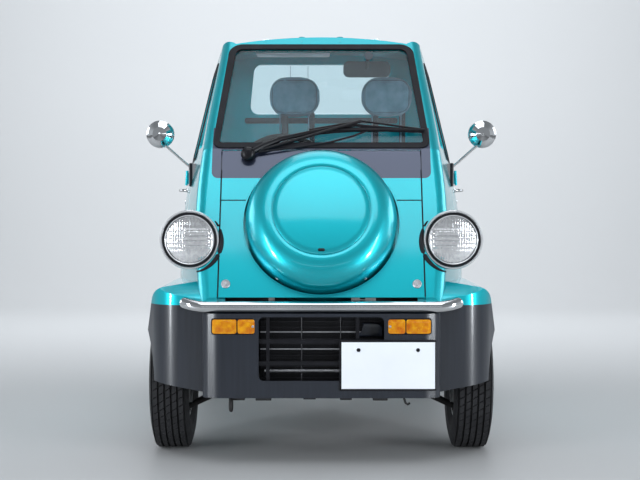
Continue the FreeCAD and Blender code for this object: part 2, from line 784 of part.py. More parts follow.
# Plates, blank
plate_width = driving("plate_width", 330)
plate_tall = driving("plate_tall", 165)
plate_x = driving("plate_x", 236)
plate_foot = driving("plate_foot_height", 281)
front_plate = box("FrontPlate", (plate_x - plate_width / 2, plate_x + plate_width / 2),
                  (bumper_face_y - 7, bumper_face_y - 5), (plate_foot, plate_foot + plate_tall))
front_plate_back = box("FrontPlateBack", (plate_x - plate_width / 2 + 30, plate_x + plate_width / 2 - 30),
                       (bumper_face_y - 5, bumper_face_y), (plate_foot + 20, plate_foot + plate_tall - 20))
rear_plate_foot = driving("rear_plate_foot_height", 372)
rear_plate_y = tail_end - 2
rear_plate = box("RearPlate", (-plate_width / 2, plate_width / 2), (rear_plate_y, rear_plate_y + 2),
                 (rear_plate_foot, rear_plate_foot + plate_tall))
node("number_plates", grouped("NumberPlates", fused("FrontPlateSet", front_plate, front_plate_back), rear_plate))

# Headlamps: dark pods, bright rims and domed lenses
lens_radius = driving("lamp_lens_radius", 91)
lamp_place = (lamp_x, lamp_front + 18, lamp_height)
pod_corners = [
    (0, 0 - pod_length), (pod_radius - 46, 0 - pod_length), (pod_radius - 14, 30 - pod_length),
    (pod_radius, 80 - pod_length), (pod_radius, 0), (lens_radius, 0), (lens_radius, -24), (0, -24),
]
FORWARD = Vector(0, -1, 0)
pod = turned("HeadlampPod", pod_corners, FORWARD, lamp_place)
node("headlamp_pods", both_sides("HeadlampPods", pod))
rim_corners = [
    (lens_radius + 0.3, 0.3), (rim_outer - 4, 0.3), (rim_outer, 5), (rim_outer - 2, 12),
    (rim_outer - 9, 18), (lens_radius + 5, 18), (lens_radius + 0.3, 13),
]
rim = turned("HeadlampRim", rim_corners, FORWARD, lamp_place)
node("headlamp_rims", both_sides("HeadlampRims", rim))
lens_corners = [
    (0, -23), (lens_radius - 0.4, -23), (lens_radius - 0.4, 12), (lens_radius - 14, 17),
    (lens_radius - 38, 22), (lens_radius - 64, 25), (0, 26),
]
lens = turned("HeadlampLens", lens_corners, FORWARD, lamp_place)
node("headlamp_lenses", both_sides("HeadlampLenses", lens))

# Spare wheel under its round cover
cover_skin = driving("spare_cover_skin", 4)
spare_band = driving("spare_cover_band", 60)
cover = spare_radius
cover_round = driving("spare_cover_round", 86)


def cover_profile():
    """The cover's wall as a face beside its axis: a straight rim, a large round and a flat front."""
    outer, face, back = cover.number, spare_face.number, -spare_band.number
    skin = cover_skin.number
    spots = [
        (Vector(outer, 0, back), 0), (Vector(outer, 0, face), cover_round.number), (Vector(0, 0, face), 0),
        (Vector(0, 0, face - skin), 0), (Vector(outer - skin, 0, face - skin), cover_round.number - skin),
        (Vector(outer - skin, 0, back), 0),
    ]
    return Part.Face(round_corners(spots))


spare_place = tuple(SPARE_CENTRE)
cover_shell = cover_profile().revolve(Vector(), UP, 360)
cover_shell.Placement = Placement(SPARE_CENTRE, Rotation(UP, SPARE_OUT))
node("spare_cover", shaped("SpareCover", cover_shell))
hub = -spare_well_depth + seat_gap
spare_crown = cover - cover_skin - seat_gap
spare_tyre_corners = [
    (0, hub), (70, hub), (90, -36), (rim_radius, -52), (rim_radius + 40, -tyre_width / 2 + 2),
    (tyre_radius - 22, -tyre_width / 2 + 4), (spare_crown, -46), (spare_crown, 12), (tyre_radius - 14, 46),
    (tyre_radius - 30, tyre_width / 2 - 4), (rim_radius, 52), (0, 52),
]
node("spare_wheel", turned("SpareWheel", spare_tyre_corners, SPARE_OUT, spare_place))

# Mirrors on stalks, wiper and inner mirror
mirror_x = driving("mirror_x", 646)
mirror_y = driving("mirror_y", -700)
mirror_height = driving("mirror_height", 1214)
mirror_radius = driving("mirror_radius", 56)
mirror_corners = [
    (0, -14), (mirror_radius - 4, -14), (mirror_radius, -8), (mirror_radius - 1, 6),
    (mirror_radius - 10, 20), (mirror_radius - 28, 30), (0, 34),
]
mirror_head = turned("MirrorHead", mirror_corners, FORWARD, (mirror_x, mirror_y, mirror_height))
stalk_foot = Vector(522, mirror_y.number + 6, 1078)
stalk_head = Vector(mirror_x.number - 20, mirror_y.number - 8, mirror_height.number - 44)
stalk_run = stalk_head - stalk_foot
stalk = shaped("MirrorStalk", Part.makeCylinder(5, stalk_run.Length, stalk_foot, stalk_run))
mount = block((480, 530), (mirror_y - 22, mirror_y + 26), (1006, 1096)).cut(OUTER_FORM)
mirror = fused("Mirror", mirror_head, stalk, shaped("MirrorMount", mount))
node("mirrors", both_sides("Mirrors", mirror))


def on_screen(x, run, out):
    """A point over the windscreen: across, up the slope and out from its plane."""
    return SCREEN_FOOT + ACROSS * x + SCREEN_UP * run + SCREEN_OUT * out


def bar_between(radius, start, end):
    return Part.makeCylinder(radius, (end - start).Length, start, end - start)


wiper_x = driving("wiper_x", -269)
pivot_spot = Vector(wiper_x.number, float(nose_tip + nose_foot), nose_bottom.number) + SPARE_UP * 572
pivot = Part.makeCylinder(21, 22, pivot_spot + SPARE_OUT * 0.3, SPARE_OUT)
crest = on_screen(150, 118, 26)
arm = bar_between(6, pivot_spot + SPARE_OUT * 16, crest)
bows = [bar_between(4, crest, on_screen(x, 86, 14)) for x in (-36, 380)]
blade = bar_between(5, on_screen(-46, 84, 13), on_screen(390, 84, 13))
node("wiper", shaped("Wiper", pivot.fuse([arm, blade] + bows)))

inner_mirror_x = driving("inner_mirror_x", 188)
glass_back = on_screen(inner_mirror_x.number, 480, -(1 + glass_thickness.number) - seat_gap.number)
case = block((inner_mirror_x - 98, inner_mirror_x + 98), (-560, -532), (1462, 1528))
hanger = bar_between(7, glass_back - SCREEN_OUT * 5, Vector(inner_mirror_x.number, -546, 1500))
pad = Part.makeCylinder(18, 6, glass_back, -SCREEN_OUT)
node("inner_mirror", shaped("InnerMirror", case.fuse([hanger, pad])))

# Ladder frame with its cross-members, bumper brackets and tow hook
rail_x = driving("frame_rail_x", 277.5)
rail_width = driving("frame_rail_width", 45)
rail_foot = driving("frame_rail_foot", 318)
rail_tall = driving("frame_rail_tall", 70)
kick = driving("frame_kick", 112)
frame_front = driving("frame_front_y", -1250)
frame_rear = driving("frame_rear_y", 1352)
kick_start = driving("frame_kick_start", 290)
kick_run = driving("frame_kick_run", 180)
rail_corners = [
    (frame_front, rail_foot), (kick_start, rail_foot), (kick_start + kick_run, rail_foot + kick),
    (frame_rear, rail_foot + kick), (frame_rear, rail_foot + kick + rail_tall),
    (kick_start + kick_run - 24, rail_foot + kick + rail_tall), (kick_start - 24, rail_foot + rail_tall),
    (frame_front, rail_foot + rail_tall),
]
frame_parts = []
for side in (1, -1):
    frame_parts.append(padded(f"FrameRail{side + 1}", "YZ_Plane", rail_corners, rail_width, (rail_x * side, 0, 0)))
    reach = rail_x * side
    frame_parts.append(box(f"BumperBracket{side + 1}", (reach - 15, reach + 15),
                           (bumper_face_y + bumper_skin + seat_gap, frame_front), (336, 376)))
rail_inner = rail_x - rail_width / 2
for index, (start_y, lift) in enumerate(((-1249.7, 0), (-650, 0), (-360, 0), (98, 0), (640, 1), (1300, 1))):
    frame_parts.append(box(f"CrossMember{index}", (-rail_inner, rail_inner), (as_size(start_y), as_size(start_y) + 40),
                           (rail_foot + kick * lift, rail_foot + rail_tall + kick * lift)))
hook_ring = doc.addObject("Part::Torus", "TowHookRing")
hook_ring.Placement = Placement(Vector(-326, -1286, 212), Rotation(UP, ACROSS))
hook_ring.Radius1 = 22
hook_ring.Radius2 = 7
frame_parts.append(hook_ring)
frame_parts.append(box("TowHookStem", (-as_size(334), -rail_x), (as_size(-1291), as_size(-1230)), (as_size(226), rail_foot + 20)))
node("chassis_frame", fused("ChassisFrame", *frame_parts))

engine_front = -360 + 40 + 0.3
node("engine_block", box("EngineBlock", (as_size(-205), as_size(205)), (as_size(engine_front), as_size(97.7)),
                         (as_size(296), as_size(600))))
tank = box("FuelTankBox", (rail_x + rail_width / 2 + seat_gap, as_size(520)), (as_size(-560), as_size(-90)),
           (as_size(262), as_size(374)))
node("fuel_tank", rounded("FuelTank", tank, 18, lambda edge: edge.BoundBox.YLength > 400))

# Exhaust: a pipe from the engine over the rear axle into a silencer
pipe_x = driving("exhaust_x", 150)
pipe_height = driving("exhaust_height", 402)
pipe = rod("ExhaustPipe", as_size(17), (pipe_x, as_size(140.3), pipe_height), ALONG, as_size(980))
silencer = rod("Silencer", as_size(58), (pipe_x, as_size(1010), pipe_height - 28), ALONG, as_size(270))
tail_pipe = rod("TailPipe", as_size(15), (pipe_x, as_size(1270), pipe_height - 28), ALONG, as_size(81))
hanger_front = box("ExhaustHanger", (pipe_x - 8, pipe_x + 8), (as_size(650), as_size(666)),
                   (pipe_height, rail_foot + kick - seat_gap))
hanger_back = box("SilencerHanger", (pipe_x - 8, pipe_x + 8), (as_size(1306), as_size(1322)),
                  (pipe_height - 28, rail_foot + kick - seat_gap))
node("exhaust", fused("Exhaust", pipe, silencer, tail_pipe, hanger_front, hanger_back))

# Wheels: tyre and steel rim at each corner, on a spindle
front_x = front_track / 2
rear_x = rear_track / 2
spindle = driving("spindle_radius", 14)
half_tyre = tyre_width / 2
tread_half = driving("tread_half_width", 56)


def tyre_corners():
    return [
        (rim_radius, -half_tyre + 12), (tyre_radius - 26, -half_tyre), (tyre_radius, -tread_half),
        (tyre_radius, tread_half), (tyre_radius - 26, half_tyre), (rim_radius, half_tyre - 12),
    ]


def rim_corners():
    """A steel wheel's section: flanged barrel, dished disc, raised ring and hub boss."""
    bore = spindle + seat_gap
    barrel = rim_radius - seat_gap
    return [
        (bore, -32), (46, -32), (46, 18), (97, 28), (124, 18), (barrel - 11, 18), (barrel - 11, -57),
        (barrel, -57), (barrel, 57), (barrel - 8, 57), (barrel - 11, 28), (122, 28), (100, 38),
        (54, 38), (48, 48), (0, 48), (0, 37), (bore, 37),
    ]


def vent_holes(centre, outward):
    """The ring of round vents through the wheel's disc."""
    vents = []
    for index in range(VENT_COUNT):
        turn = 2 * math.pi * index / VENT_COUNT
        spoke = Vector(0, math.cos(turn), math.sin(turn)) * vent_ring.number
        vents.append(Part.makeCylinder(vent_radius.number, 60, centre + spoke, outward))
    return Part.makeCompound(vents)


VENT_COUNT = 8
vent_ring = driving("wheel_vent_ring", 110.5)
vent_radius = driving("wheel_vent_radius", 9)
for end, y, x in (("front", front_axle, front_x), ("rear", rear_axle_y, rear_x)):
    for side_name, side in (("left", 1), ("right", -1)):
        place = (x * side, y, tyre_radius)
        outward = ACROSS * side
        tyre = turned(f"Tyre{end}{side_name}", tyre_corners(), outward, place)
        node(f"tyre_{end}_{side_name}", tyre)
        wheel_rim = turned(f"Rim{end}{side_name}", rim_corners(), outward, place)
        vents = shaped(f"Vents{end}{side_name}", vent_holes(Vector(*map(float, place)), outward))
        node(f"wheel_{end}_{side_name}", cut(f"Wheel{end}{side_name}", wheel_rim, vents))

# Knuckles: spindle, backing plate and upright, turning about the kingpin
kingpin = driving("kingpin_offset_x", 48)
upright_half = driving("upright_half_height", 100)
for side_name, side in (("left", 1), ("right", -1)):
    outward = ACROSS * side
    stub = rod(f"Spindle{side_name}", spindle, (front_x * side - 56 * side, front_axle, tyre_radius), outward, as_size(92))
    plate = rod(f"BackingPlate{side_name}", as_size(92), (front_x * side - 44 * side, front_axle, tyre_radius), outward, as_size(6))
    limits = sorted((front_x * side - 56 * side, front_x * side - 40 * side), key=float)
    upright = box(f"Upright{side_name}", limits, (front_axle - 20, front_axle + 20),
                  (tyre_radius - upright_half, tyre_radius + upright_half))
    node(f"knuckle_{side_name}", fused(f"Knuckle{side_name}", stub, plate, upright))

# Front suspension: upper and lower arms each side, springs and a cross-beam
pin_x = front_x - kingpin
low_z = tyre_radius - upright_half - seat_gap
high_z = tyre_radius + upright_half + seat_gap
arms = []
for height, pin_low, pin_high in ((low_z.number - 16, low_z.number - 30, low_z.number),
                                  (high_z.number + 14, high_z.number, high_z.number + 28)):
    pin = Vector(pin_x.number, front_axle.number, pin_low)
    arms.append(Part.makeCylinder(13, pin_high - pin_low, pin, UP))
    for spread in (-86, 86):
        inner = Vector(296, front_axle.number + spread, 262 if height < 200 else 372)
        arms.append(bar_between(11, Vector(pin_x.number, front_axle.number, height), inner))
damper = bar_between(20, Vector(400, front_axle.number, 210), Vector(365, front_axle.number, 410))
beam_half = block((0, 300), (front_axle - 96, front_axle + 96), (230, rail_foot - seat_gap))
knuckle_space = Part.makeCylinder(28, 2 * upright_half.number + 0.6, Vector(pin_x.number, front_axle.number, low_z.number), UP)
pin_posts = [arms[0], arms[3]]
arm_set = arms[1].fuse([arms[2], arms[4], arms[5]])
rail_space = block((rail_x - rail_width, rail_x + rail_width / 2 + seat_gap), (front_axle - 200, front_axle + 200),
                   (rail_foot - seat_gap, rail_foot + rail_tall + 40))
foot_bolt = bar_between(9, Vector(400, front_axle.number - 46, 211), Vector(400, front_axle.number + 46, 211))
head_bolt = bar_between(8, Vector(368, front_axle.number - 60, 376), Vector(368, front_axle.number + 60, 376))
arm_set = arm_set.cut(knuckle_space).fuse(pin_posts + [beam_half, damper, foot_bolt, head_bolt]).cut(rail_space)
suspension = arm_set.fuse(flipped(arm_set))
node("front_suspension", shaped("FrontSuspension", suspension))

# Rear axle on leaf springs
axle_y = rear_axle_y
tube = rod("AxleTube", as_size(30), (-rear_x + 60, axle_y, tyre_radius), ACROSS, rear_track - 120)
differential_corners = [(0, -76), (62, -76), (92, -44), (92, 34), (58, 66), (40, 96), (0, 96)]
differential = turned("Differential", differential_corners, FORWARD, (as_size(0), axle_y, tyre_radius))
shaft = rod("PropShaft", as_size(24), (as_size(0), as_size(98), tyre_radius + 18), ALONG, axle_y - 178)
axle_parts = [tube, differential, shaft]
for side_name, side in (("left", 1), ("right", -1)):
    outward = ACROSS * side
    axle_parts.append(rod(f"RearDrum{side_name}", as_size(104), (rear_x * side - 82 * side, axle_y, tyre_radius), outward, as_size(44)))
    axle_parts.append(rod(f"RearSpindle{side_name}", spindle, (rear_x * side - 60 * side, axle_y, tyre_radius), outward, as_size(96)))
node("rear_axle", fused("RearAxle", *axle_parts))

leaf_half = driving("leaf_half_length", 410)
leaf_drop = driving("leaf_drop", 92)
leaf_thickness = driving("leaf_thickness", 18)


def leaf_spring(x):
    """A bowed leaf pack under the axle tube, with a shackle up to the rail at each end."""
    low = tyre_radius.number - 30 - leaf_thickness.number - seat_gap.number
    ends = [Vector(x, axle_y.number + side * leaf_half.number, low + leaf_drop.number) for side in (-1, 1)]
    middle = Vector(x, axle_y.number, low)
    lift = UP * leaf_thickness.number
    under = Part.Arc(ends[0], middle, ends[1]).toShape()
    over = Part.Arc(ends[1] + lift, middle + lift, ends[0] + lift).toShape()
    wire = Part.Wire([under, Part.makeLine(ends[1], ends[1] + lift), over, Part.makeLine(ends[0] + lift, ends[0])])
    face = Part.Face(wire)
    face.translate(Vector(-22, 0, 0))
    leaf = face.extrude(Vector(44, 0, 0))
    shackles = []
    for end in ends:
        top = rail_foot.number + kick.number - seat_gap.number
        inward = 24 if end.y < axle_y.number else -24
        span = sorted((end.y, end.y + inward))
        shackles.append(block((x - 10, x + 10), span, (end.z, top)))
    return leaf.fuse(shackles)


node("leaf_springs", shaped("LeafSprings", Part.makeCompound([leaf_spring(rail_x.number), leaf_spring(-rail_x.number)])))

# Cab floor with the seat box over the engine, toe-board and wheel housings
floor_top = driving("floor_top", 424)
floor_skin = driving("floor_skin", 12)
seat_box_front = driving("seat_box_front_y", -372)
seat_box_top = driving("seat_box_top", 640)
seat_box_half = driving("seat_box_half_width", 526)
bulkhead_y = driving("bulkhead_y", -1196)
housing_skin = driving("housing_skin", 10)
inside_rear = cab_rear - wall - seat_gap
housing_face = well_inner - seat_gap
floor_parts = [
    box("FloorFront", (-housing_face, housing_face), (bulkhead_y, seat_box_front), (floor_top - floor_skin, floor_top)),
    box("SeatBoxFront", (-seat_box_half, seat_box_half), (seat_box_front, seat_box_front + floor_skin),
        (floor_top - floor_skin + seat_gap, seat_box_top)),
    box("SeatBoxTop", (-seat_box_half, seat_box_half), (seat_box_front, inside_rear),
        (seat_box_top - floor_skin, seat_box_top)),
]
for side in (1, -1):
    limits = sorted((seat_box_half * side, (seat_box_half - floor_skin) * side), key=float)
    floor_parts.append(box(f"SeatBoxSide{side + 1}", limits, (seat_box_front, inside_rear),
                           (floor_top - floor_skin + seat_gap, seat_box_top)))
bulk = bulkhead_y.number
board_head = 1050
board_top = bulk + (board_head - 617) * math.tan(nose_lean)
board = across_slab([
    ((bulk, floor_top.number - 12), 0), ((bulk + 10, floor_top.number - 12), 0), ((bulk + 10, 615), 0),
    ((board_top + 10, board_head), 0), ((board_top, board_head), 0), ((bulk, 617), 0),
]).common(cab_form(wall.number + seat_gap.number))
housing_room = drum(arch_radius + 10 + seat_gap, front_axle, tyre_radius, (well_inner - 10 - seat_gap, FAR))
below_floor = block((housing_face, FAR), (-1500, 0), (0, floor_top))
board = board.cut([on_spare_axis(293, -99, 100), housing_room, flipped(housing_room), below_floor, flipped(below_floor),
                   LAMP_POCKET, flipped(LAMP_POCKET)])
board = largest(board)
floor_parts.append(shaped("ToeBoard", board))
floor_pan = fused("FloorPan", *floor_parts)
node("floor_pan", floor_pan)

ABOVE_FLOOR = block((-FAR, FAR), (-1500, 0), (floor_top + seat_gap, 1000))
housing = drum(arch_radius + housing_skin, front_axle, tyre_radius, (well_inner - housing_skin, FAR))
housing = housing.cut(drum(arch_radius, front_axle, tyre_radius, (well_inner, FAR)))
housing = largest(housing.common(cab_form(wall.number + seat_gap.number)).common(ABOVE_FLOOR))
node("wheel_housings", shaped("WheelHousings", Part.makeCompound(side_pair(housing))))

# Dashboard with the steering column
dash_space = across_slab([
    ((-1040, 1096), 6), ((-792, 1076), 46), ((-772, 966), 34), ((-846, 872), 30), ((-974, 872), 10),
    ((-974, 1062), 4), ((-1040, 1066), 4),
])
dash = dash_space.common(cab_form(wall.number + seat_gap.number)).cut(on_spare_axis(293, -99, 100))
driver_x = driving("driver_x", -152)
column_lean = driving("column_lean_deg", 52)
lean = math.radians(column_lean.number)
COLUMN = Vector(0, math.sin(lean), math.cos(lean))
wheel_centre = Vector(driver_x.number, -640, 1062)
column = Part.makeCylinder(17, 180, wheel_centre - COLUMN * 186, COLUMN)
node("dashboard", shaped("Dashboard", dash.fuse(column)))

steering_radius = driving("steering_wheel_radius", 178)
grip = driving("steering_grip_radius", 12)
tilt = Rotation(UP, COLUMN)
GRIP_SIDES = 8
grip_turns = [math.radians(360 * i / GRIP_SIDES) for i in range(GRIP_SIDES)]
grip_corners = [(steering_radius + grip * math.cos(a), grip * math.sin(a)) for a in grip_turns]
hoop = turned("SteeringRim", grip_corners, COLUMN, tuple(wheel_centre))
boss = shaped("SteeringBoss", Part.makeCylinder(40, 30, wheel_centre - COLUMN * 5.7, COLUMN))
spokes = []
for turn in (90, 210, 330):
    arm_turn = Placement(wheel_centre, tilt.multiply(Rotation(UP, turn)))
    spoke = Part.makeBox(steering_radius.number - 8, 26, 9, Vector(0, -13, 0))
    spoke.Placement = arm_turn
    spokes.append(shaped(f"SteeringSpoke{turn}", spoke))
node("steering_wheel", fused("SteeringWheel", hoop, boss, *spokes))

# Seats: cushion, leaning back and headrest for each of the two
driver_seat_x = driving("driver_seat_x", -121)
passenger_x = driving("passenger_x", 298)
driver_half = driving("driver_seat_half_width", 222)
passenger_half = driving("passenger_seat_half_width", 184)
cushion_top = driving("cushion_top", 762)
back_top = driving("seat_back_top", 1206)
headrest_width = driving("headrest_width", 227)
headrest_tall = driving("headrest_tall", 172)
headrest_foot = driving("headrest_foot", 1336)
headrest_round = driving("headrest_round", 68)
post_reach = driving("headrest_post_reach", 66)
cushions, backs = [], []


def is_cross_edge(edge):
    return edge.BoundBox.XLength > 100


for name, centre, half in (("Driver", driver_seat_x, driver_half), ("Passenger", passenger_x, passenger_half)):
    cushion_corners = [
        (seat_box_front + 10, seat_box_top + seat_gap), (as_size(-60.5), seat_box_top + seat_gap),
        (as_size(-55), cushion_top - 18), (as_size(-300), cushion_top), (seat_box_front + 2, cushion_top - 26),
    ]
    cushion = padded(f"{name}Cushion", "YZ_Plane", cushion_corners, half * 2, (centre, 0, 0))
    cushions.append(rounded(f"{name}CushionSoft", cushion, 14, is_cross_edge))
    back_corners = [
        (as_size(-60), seat_box_top + seat_gap), (inside_rear - 36, seat_box_top + seat_gap),
        (inside_rear - 10, back_top - 10),
        (inside_rear - 34, back_top), (as_size(6), back_top - 8), (as_size(-44), cushion_top + 160),
    ]
    back = padded(f"{name}Back", "YZ_Plane", back_corners, half * 2 - 16, (centre, 0, 0))
    backs.append(rounded(f"{name}BackSoft", back, 13, is_cross_edge))
node("seat_cushions", grouped("SeatCushions", *cushions))
node("seat_backs", grouped("SeatBacks", *backs))
rests = []
for name, centre in (("Driver", driver_seat_x), ("Passenger", passenger_x)):
    pillow = box(f"{name}Headrest", (centre - headrest_width / 2, centre + headrest_width / 2),
                 (inside_rear - 78, inside_rear - 6), (headrest_foot, headrest_foot + headrest_tall))
    soft = rounded(f"{name}HeadrestSoft", pillow, headrest_round, lambda edge: edge.BoundBox.YLength > 60)
    post_run = headrest_foot + 30 - back_top
    posts = [rod(f"{name}Post{i}", as_size(6), (centre + reach, inside_rear - 44, back_top - 0.2), UP, post_run)
             for i, reach in enumerate((-post_reach, post_reach))]
    rests.append(fused(f"{name}HeadrestSet", soft, *posts))
node("headrests", grouped("Headrests", *rests))

# Load bed: floor, sides, head board and corner posts; the tailgate is hinged at its foot
bed_front = driving("bed_front_y", 146)
bed_floor = driving("bed_floor_height", 576)
bed_side_top = driving("bed_side_top", 806)
bed_half = driving("bed_half_width", 595)
bed_wall = driving("bed_wall", 30)
bed_skirt = driving("bed_skirt_foot", 452)
bed_rear = driving("bed_rear_y", 1386)
gate_half = driving("tailgate_half_width", 470)
gate_skin = driving("tailgate_thickness", 34)
gate_hinge_z = bed_floor - 20
gate_hinge_y = driving("tailgate_hinge_y", 1380)
post_y = bed_rear - 52
bed_parts = [
    box("BedFloor", (-bed_half, bed_half), (bed_front, bed_rear - gate_skin - clearance), (bed_floor - 14, bed_floor)),
    box("HeadBoard", (-bed_half, bed_half), (bed_front, bed_front + bed_wall), (bed_skirt, bed_side_top + 10)),
    box("BedSill", (-bed_half, bed_half), (bed_rear - 46, gate_hinge_y - 6 - seat_gap), (bed_floor - 66, bed_floor - 14)),
]
for side in (1, -1):
    wall_span = sorted((bed_half * side, (bed_half - bed_wall) * side), key=float)
    bed_parts.append(box(f"BedSide{side + 1}", wall_span, (bed_front, bed_rear), (bed_skirt, bed_side_top)))
    post_span = sorted((bed_half * side, gate_half * side), key=float)
    bed_parts.append(box(f"BedPost{side + 1}", post_span, (post_y, bed_rear), (bed_floor - 66, bed_side_top)))
    strut = sorted(((rail_x - rail_width / 2) * side, (rail_x + rail_width / 2) * side), key=float)
    for index, spot in enumerate((600, 1240)):
        bed_parts.append(box(f"BedBearer{side + 1}{index}", strut, (as_size(spot), as_size(spot + 60)),
                             (rail_foot + kick + rail_tall + seat_gap, bed_floor - 14)))
bed_solid = fused("BedSolid", *bed_parts)
rear_arch_cut = [rod(f"RearArch{side + 1}", rear_arch_radius, (as_size(380 * side), rear_axle_y, tyre_radius), ACROSS * side, as_size(400))
                 for side in (1, -1)]
field_depth = driving("pressed_field_depth", 5)
side_fields = []
for side in (1, -1):
    span = sorted((bed_half * side, (bed_half - field_depth) * side), key=float)
    for index, (low, high) in enumerate(((190, 560), (600, 960), (1000, 1300))):
        side_fields.append(box(f"SideField{side + 1}{index}", span, (as_size(low), as_size(high)),
                               (bed_side_top - 140, bed_side_top - 40)))
node("bed_tub", cut("BedTub", bed_solid, *rear_arch_cut, *side_fields))

gate_panel = box("GatePanel", (-gate_half + clearance, gate_half - clearance), (bed_rear - gate_skin, bed_rear),
                 (bed_floor + clearance, bed_side_top - 6))
gate_lugs = []
for index, spot in enumerate((-330, 290)):
    gate_lugs.append(box(f"GateLug{index}", (as_size(spot), as_size(spot + 40)), (gate_hinge_y - 4, bed_rear),
                         (gate_hinge_z, bed_floor + clearance)))
    gate_lugs.append(rod(f"GatePin{index}", as_size(6), (as_size(spot), gate_hinge_y, gate_hinge_z), ACROSS, as_size(40)))
gate_fields = []
for index, middle in enumerate((-300, 0, 300)):
    gate_fields.append(box(f"GateField{index}", (as_size(middle - 130), as_size(middle + 130)),
                           (bed_rear - field_depth, bed_rear), (bed_floor + 56, bed_side_top - 50)))
gate_solid = fused("GateSolid", gate_panel, *gate_lugs)
node("tailgate", cut("Tailgate", gate_solid, *gate_fields))

# Rear flares, tail lamps and the rear beam that carries the plate
flare_ring = drum(rear_arch_radius.number + 54, rear_axle_y, tyre_radius, (bed_half.number + seat_gap.number, half_width))
flare_ring = flare_ring.cut(drum(rear_arch_radius, rear_axle_y, tyre_radius, (500, FAR)))
flare_ring = flare_ring.common(block((0, FAR), (0, 1500), (bed_skirt, 700)))
outer_edges = [e for e in flare_ring.Edges if e.BoundBox.XMin > half_width.number - 1 and e.BoundBox.ZMax > 580]
outer_edges = [e for e in outer_edges if abs(e.Curve.Radius - rear_arch_radius.number - 54) < 1] if outer_edges else []
flare_ring = flare_ring.makeFillet(26, outer_edges) if outer_edges else flare_ring
node("rear_flares", shaped("RearFlares", Part.makeCompound(side_pair(flare_ring))))
tail_lamp = box("TailLamp", (gate_half + 26, gate_half + 104), (bed_rear + seat_gap, tail_end - 1), (bed_floor + 28, bed_floor + 196))
node("tail_lamps", both_sides("TailLamps", rounded("TailLampSoft", tail_lamp, 4, lambda edge: edge.BoundBox.YMin > tail_end.number - 2)))
beam = box("RearBeamBar", (as_size(-540), as_size(540)), (frame_rear + seat_gap, rear_plate_y - 4), (as_size(352), as_size(470)))
plate_backing = box("RearPlateBacking", (-plate_width / 2 + 30, plate_width / 2 - 30), (rear_plate_y - 4, rear_plate_y - seat_gap),
                    (rear_plate_foot + 20, rear_plate_foot + plate_tall - 70))
node("rear_beam", fused("RearBeam", rounded("RearBeamSoft", beam, 16, is_cross_edge), plate_backing))

# Every object is checked before anything is written
doc.recompute()
for item in doc.Objects:
    if "Invalid" in item.State or "Error" in item.State:
        raise RuntimeError(f"{item.Label} failed: {item.State}")
for item in nodes:
    if item.Shape.isNull() or not item.Shape.isValid():
        raise RuntimeError(f"{item.Label} has no valid shape")
for item in nodes:
    item.Shape.exportStep(f"parts/{item.Label}.step")
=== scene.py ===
# %% [markdown]
# # A small nose-wheeled pickup, dressed in Blender
# The part's solids arrive ready-made and fixed in place. This lesson gives them their finishes,
# adds the fine pieces that solids leave out, and ends with a quiet studio picture.

# %% Load the fixed frame
import json
import math

import bmesh
import bpy
from mathutils import Matrix, Vector
from mathutils.bvhtree import BVHTree


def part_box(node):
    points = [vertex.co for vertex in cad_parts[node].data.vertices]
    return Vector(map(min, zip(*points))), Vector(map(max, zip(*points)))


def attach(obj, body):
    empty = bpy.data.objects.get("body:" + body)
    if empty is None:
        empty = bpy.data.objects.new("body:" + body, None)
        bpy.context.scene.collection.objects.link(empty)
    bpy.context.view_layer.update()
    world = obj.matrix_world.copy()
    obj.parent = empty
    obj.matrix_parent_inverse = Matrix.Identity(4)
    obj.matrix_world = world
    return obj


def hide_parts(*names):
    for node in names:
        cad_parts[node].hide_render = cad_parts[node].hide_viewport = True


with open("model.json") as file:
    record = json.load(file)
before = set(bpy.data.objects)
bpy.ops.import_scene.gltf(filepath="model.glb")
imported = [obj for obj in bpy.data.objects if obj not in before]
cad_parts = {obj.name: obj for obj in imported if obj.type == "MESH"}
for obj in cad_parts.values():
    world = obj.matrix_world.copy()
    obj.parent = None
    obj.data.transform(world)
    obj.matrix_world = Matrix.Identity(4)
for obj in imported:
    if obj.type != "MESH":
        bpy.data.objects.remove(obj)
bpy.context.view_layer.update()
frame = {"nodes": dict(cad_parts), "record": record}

# %% [markdown]
# ## Camera
# The picture was taken from straight ahead, a little under the height of the windscreen's foot,
# with a long lens and almost no tilt. One camera object holds that view. The lens comes from the
# picture's own scale: a known width, divided by the pixels it covers, times the distance.

# %% Place the camera
PICTURE_WIDTH = 640
SENSOR = 36.0
FOCAL_PIXELS = 1389.0
CAMERA_SPOT = Vector((-0.005, -6.285, 0.930))
CAMERA_DROP = math.radians(1.44)

camera_data = bpy.data.cameras.new("Camera")
camera_data.sensor_width = SENSOR
camera_data.lens = FOCAL_PIXELS / PICTURE_WIDTH * SENSOR
camera = bpy.data.objects.new("Camera", camera_data)
camera.location = CAMERA_SPOT
camera.rotation_euler = (math.radians(90) - CAMERA_DROP, 0, 0)
bpy.context.scene.collection.objects.link(camera)
bpy.context.scene.camera = camera
print("lens in mm:", round(camera_data.lens, 1))

# %% [markdown]
# ## Studio
# Shiny paint and chrome look like what they reflect, so the room matters as much as the finish.
# A pale floor that curves up into a wall gives a clean horizon. Tall soft lamps to each side of
# the camera draw the upright streaks on the nose and bumper, and a broad one hangs overhead. The
# world is bright behind and beside the car and dim ahead of it, as in a room with white walls and
# a dark end where the camera stands. That dim end keeps the colour of the nose deep. The sheet
# is clear on its back side, so a camera behind or below it still sees the car.

# %% Lay the floor and hang the lamps
FLOOR_HALF = 14.0
BEND_STEPS = 12
WALL_START = 9.0
WALL_CURVE = 3.0
WALL_TOP = 9.0
LAMP_COLOUR = (0.90, 0.95, 1.0)


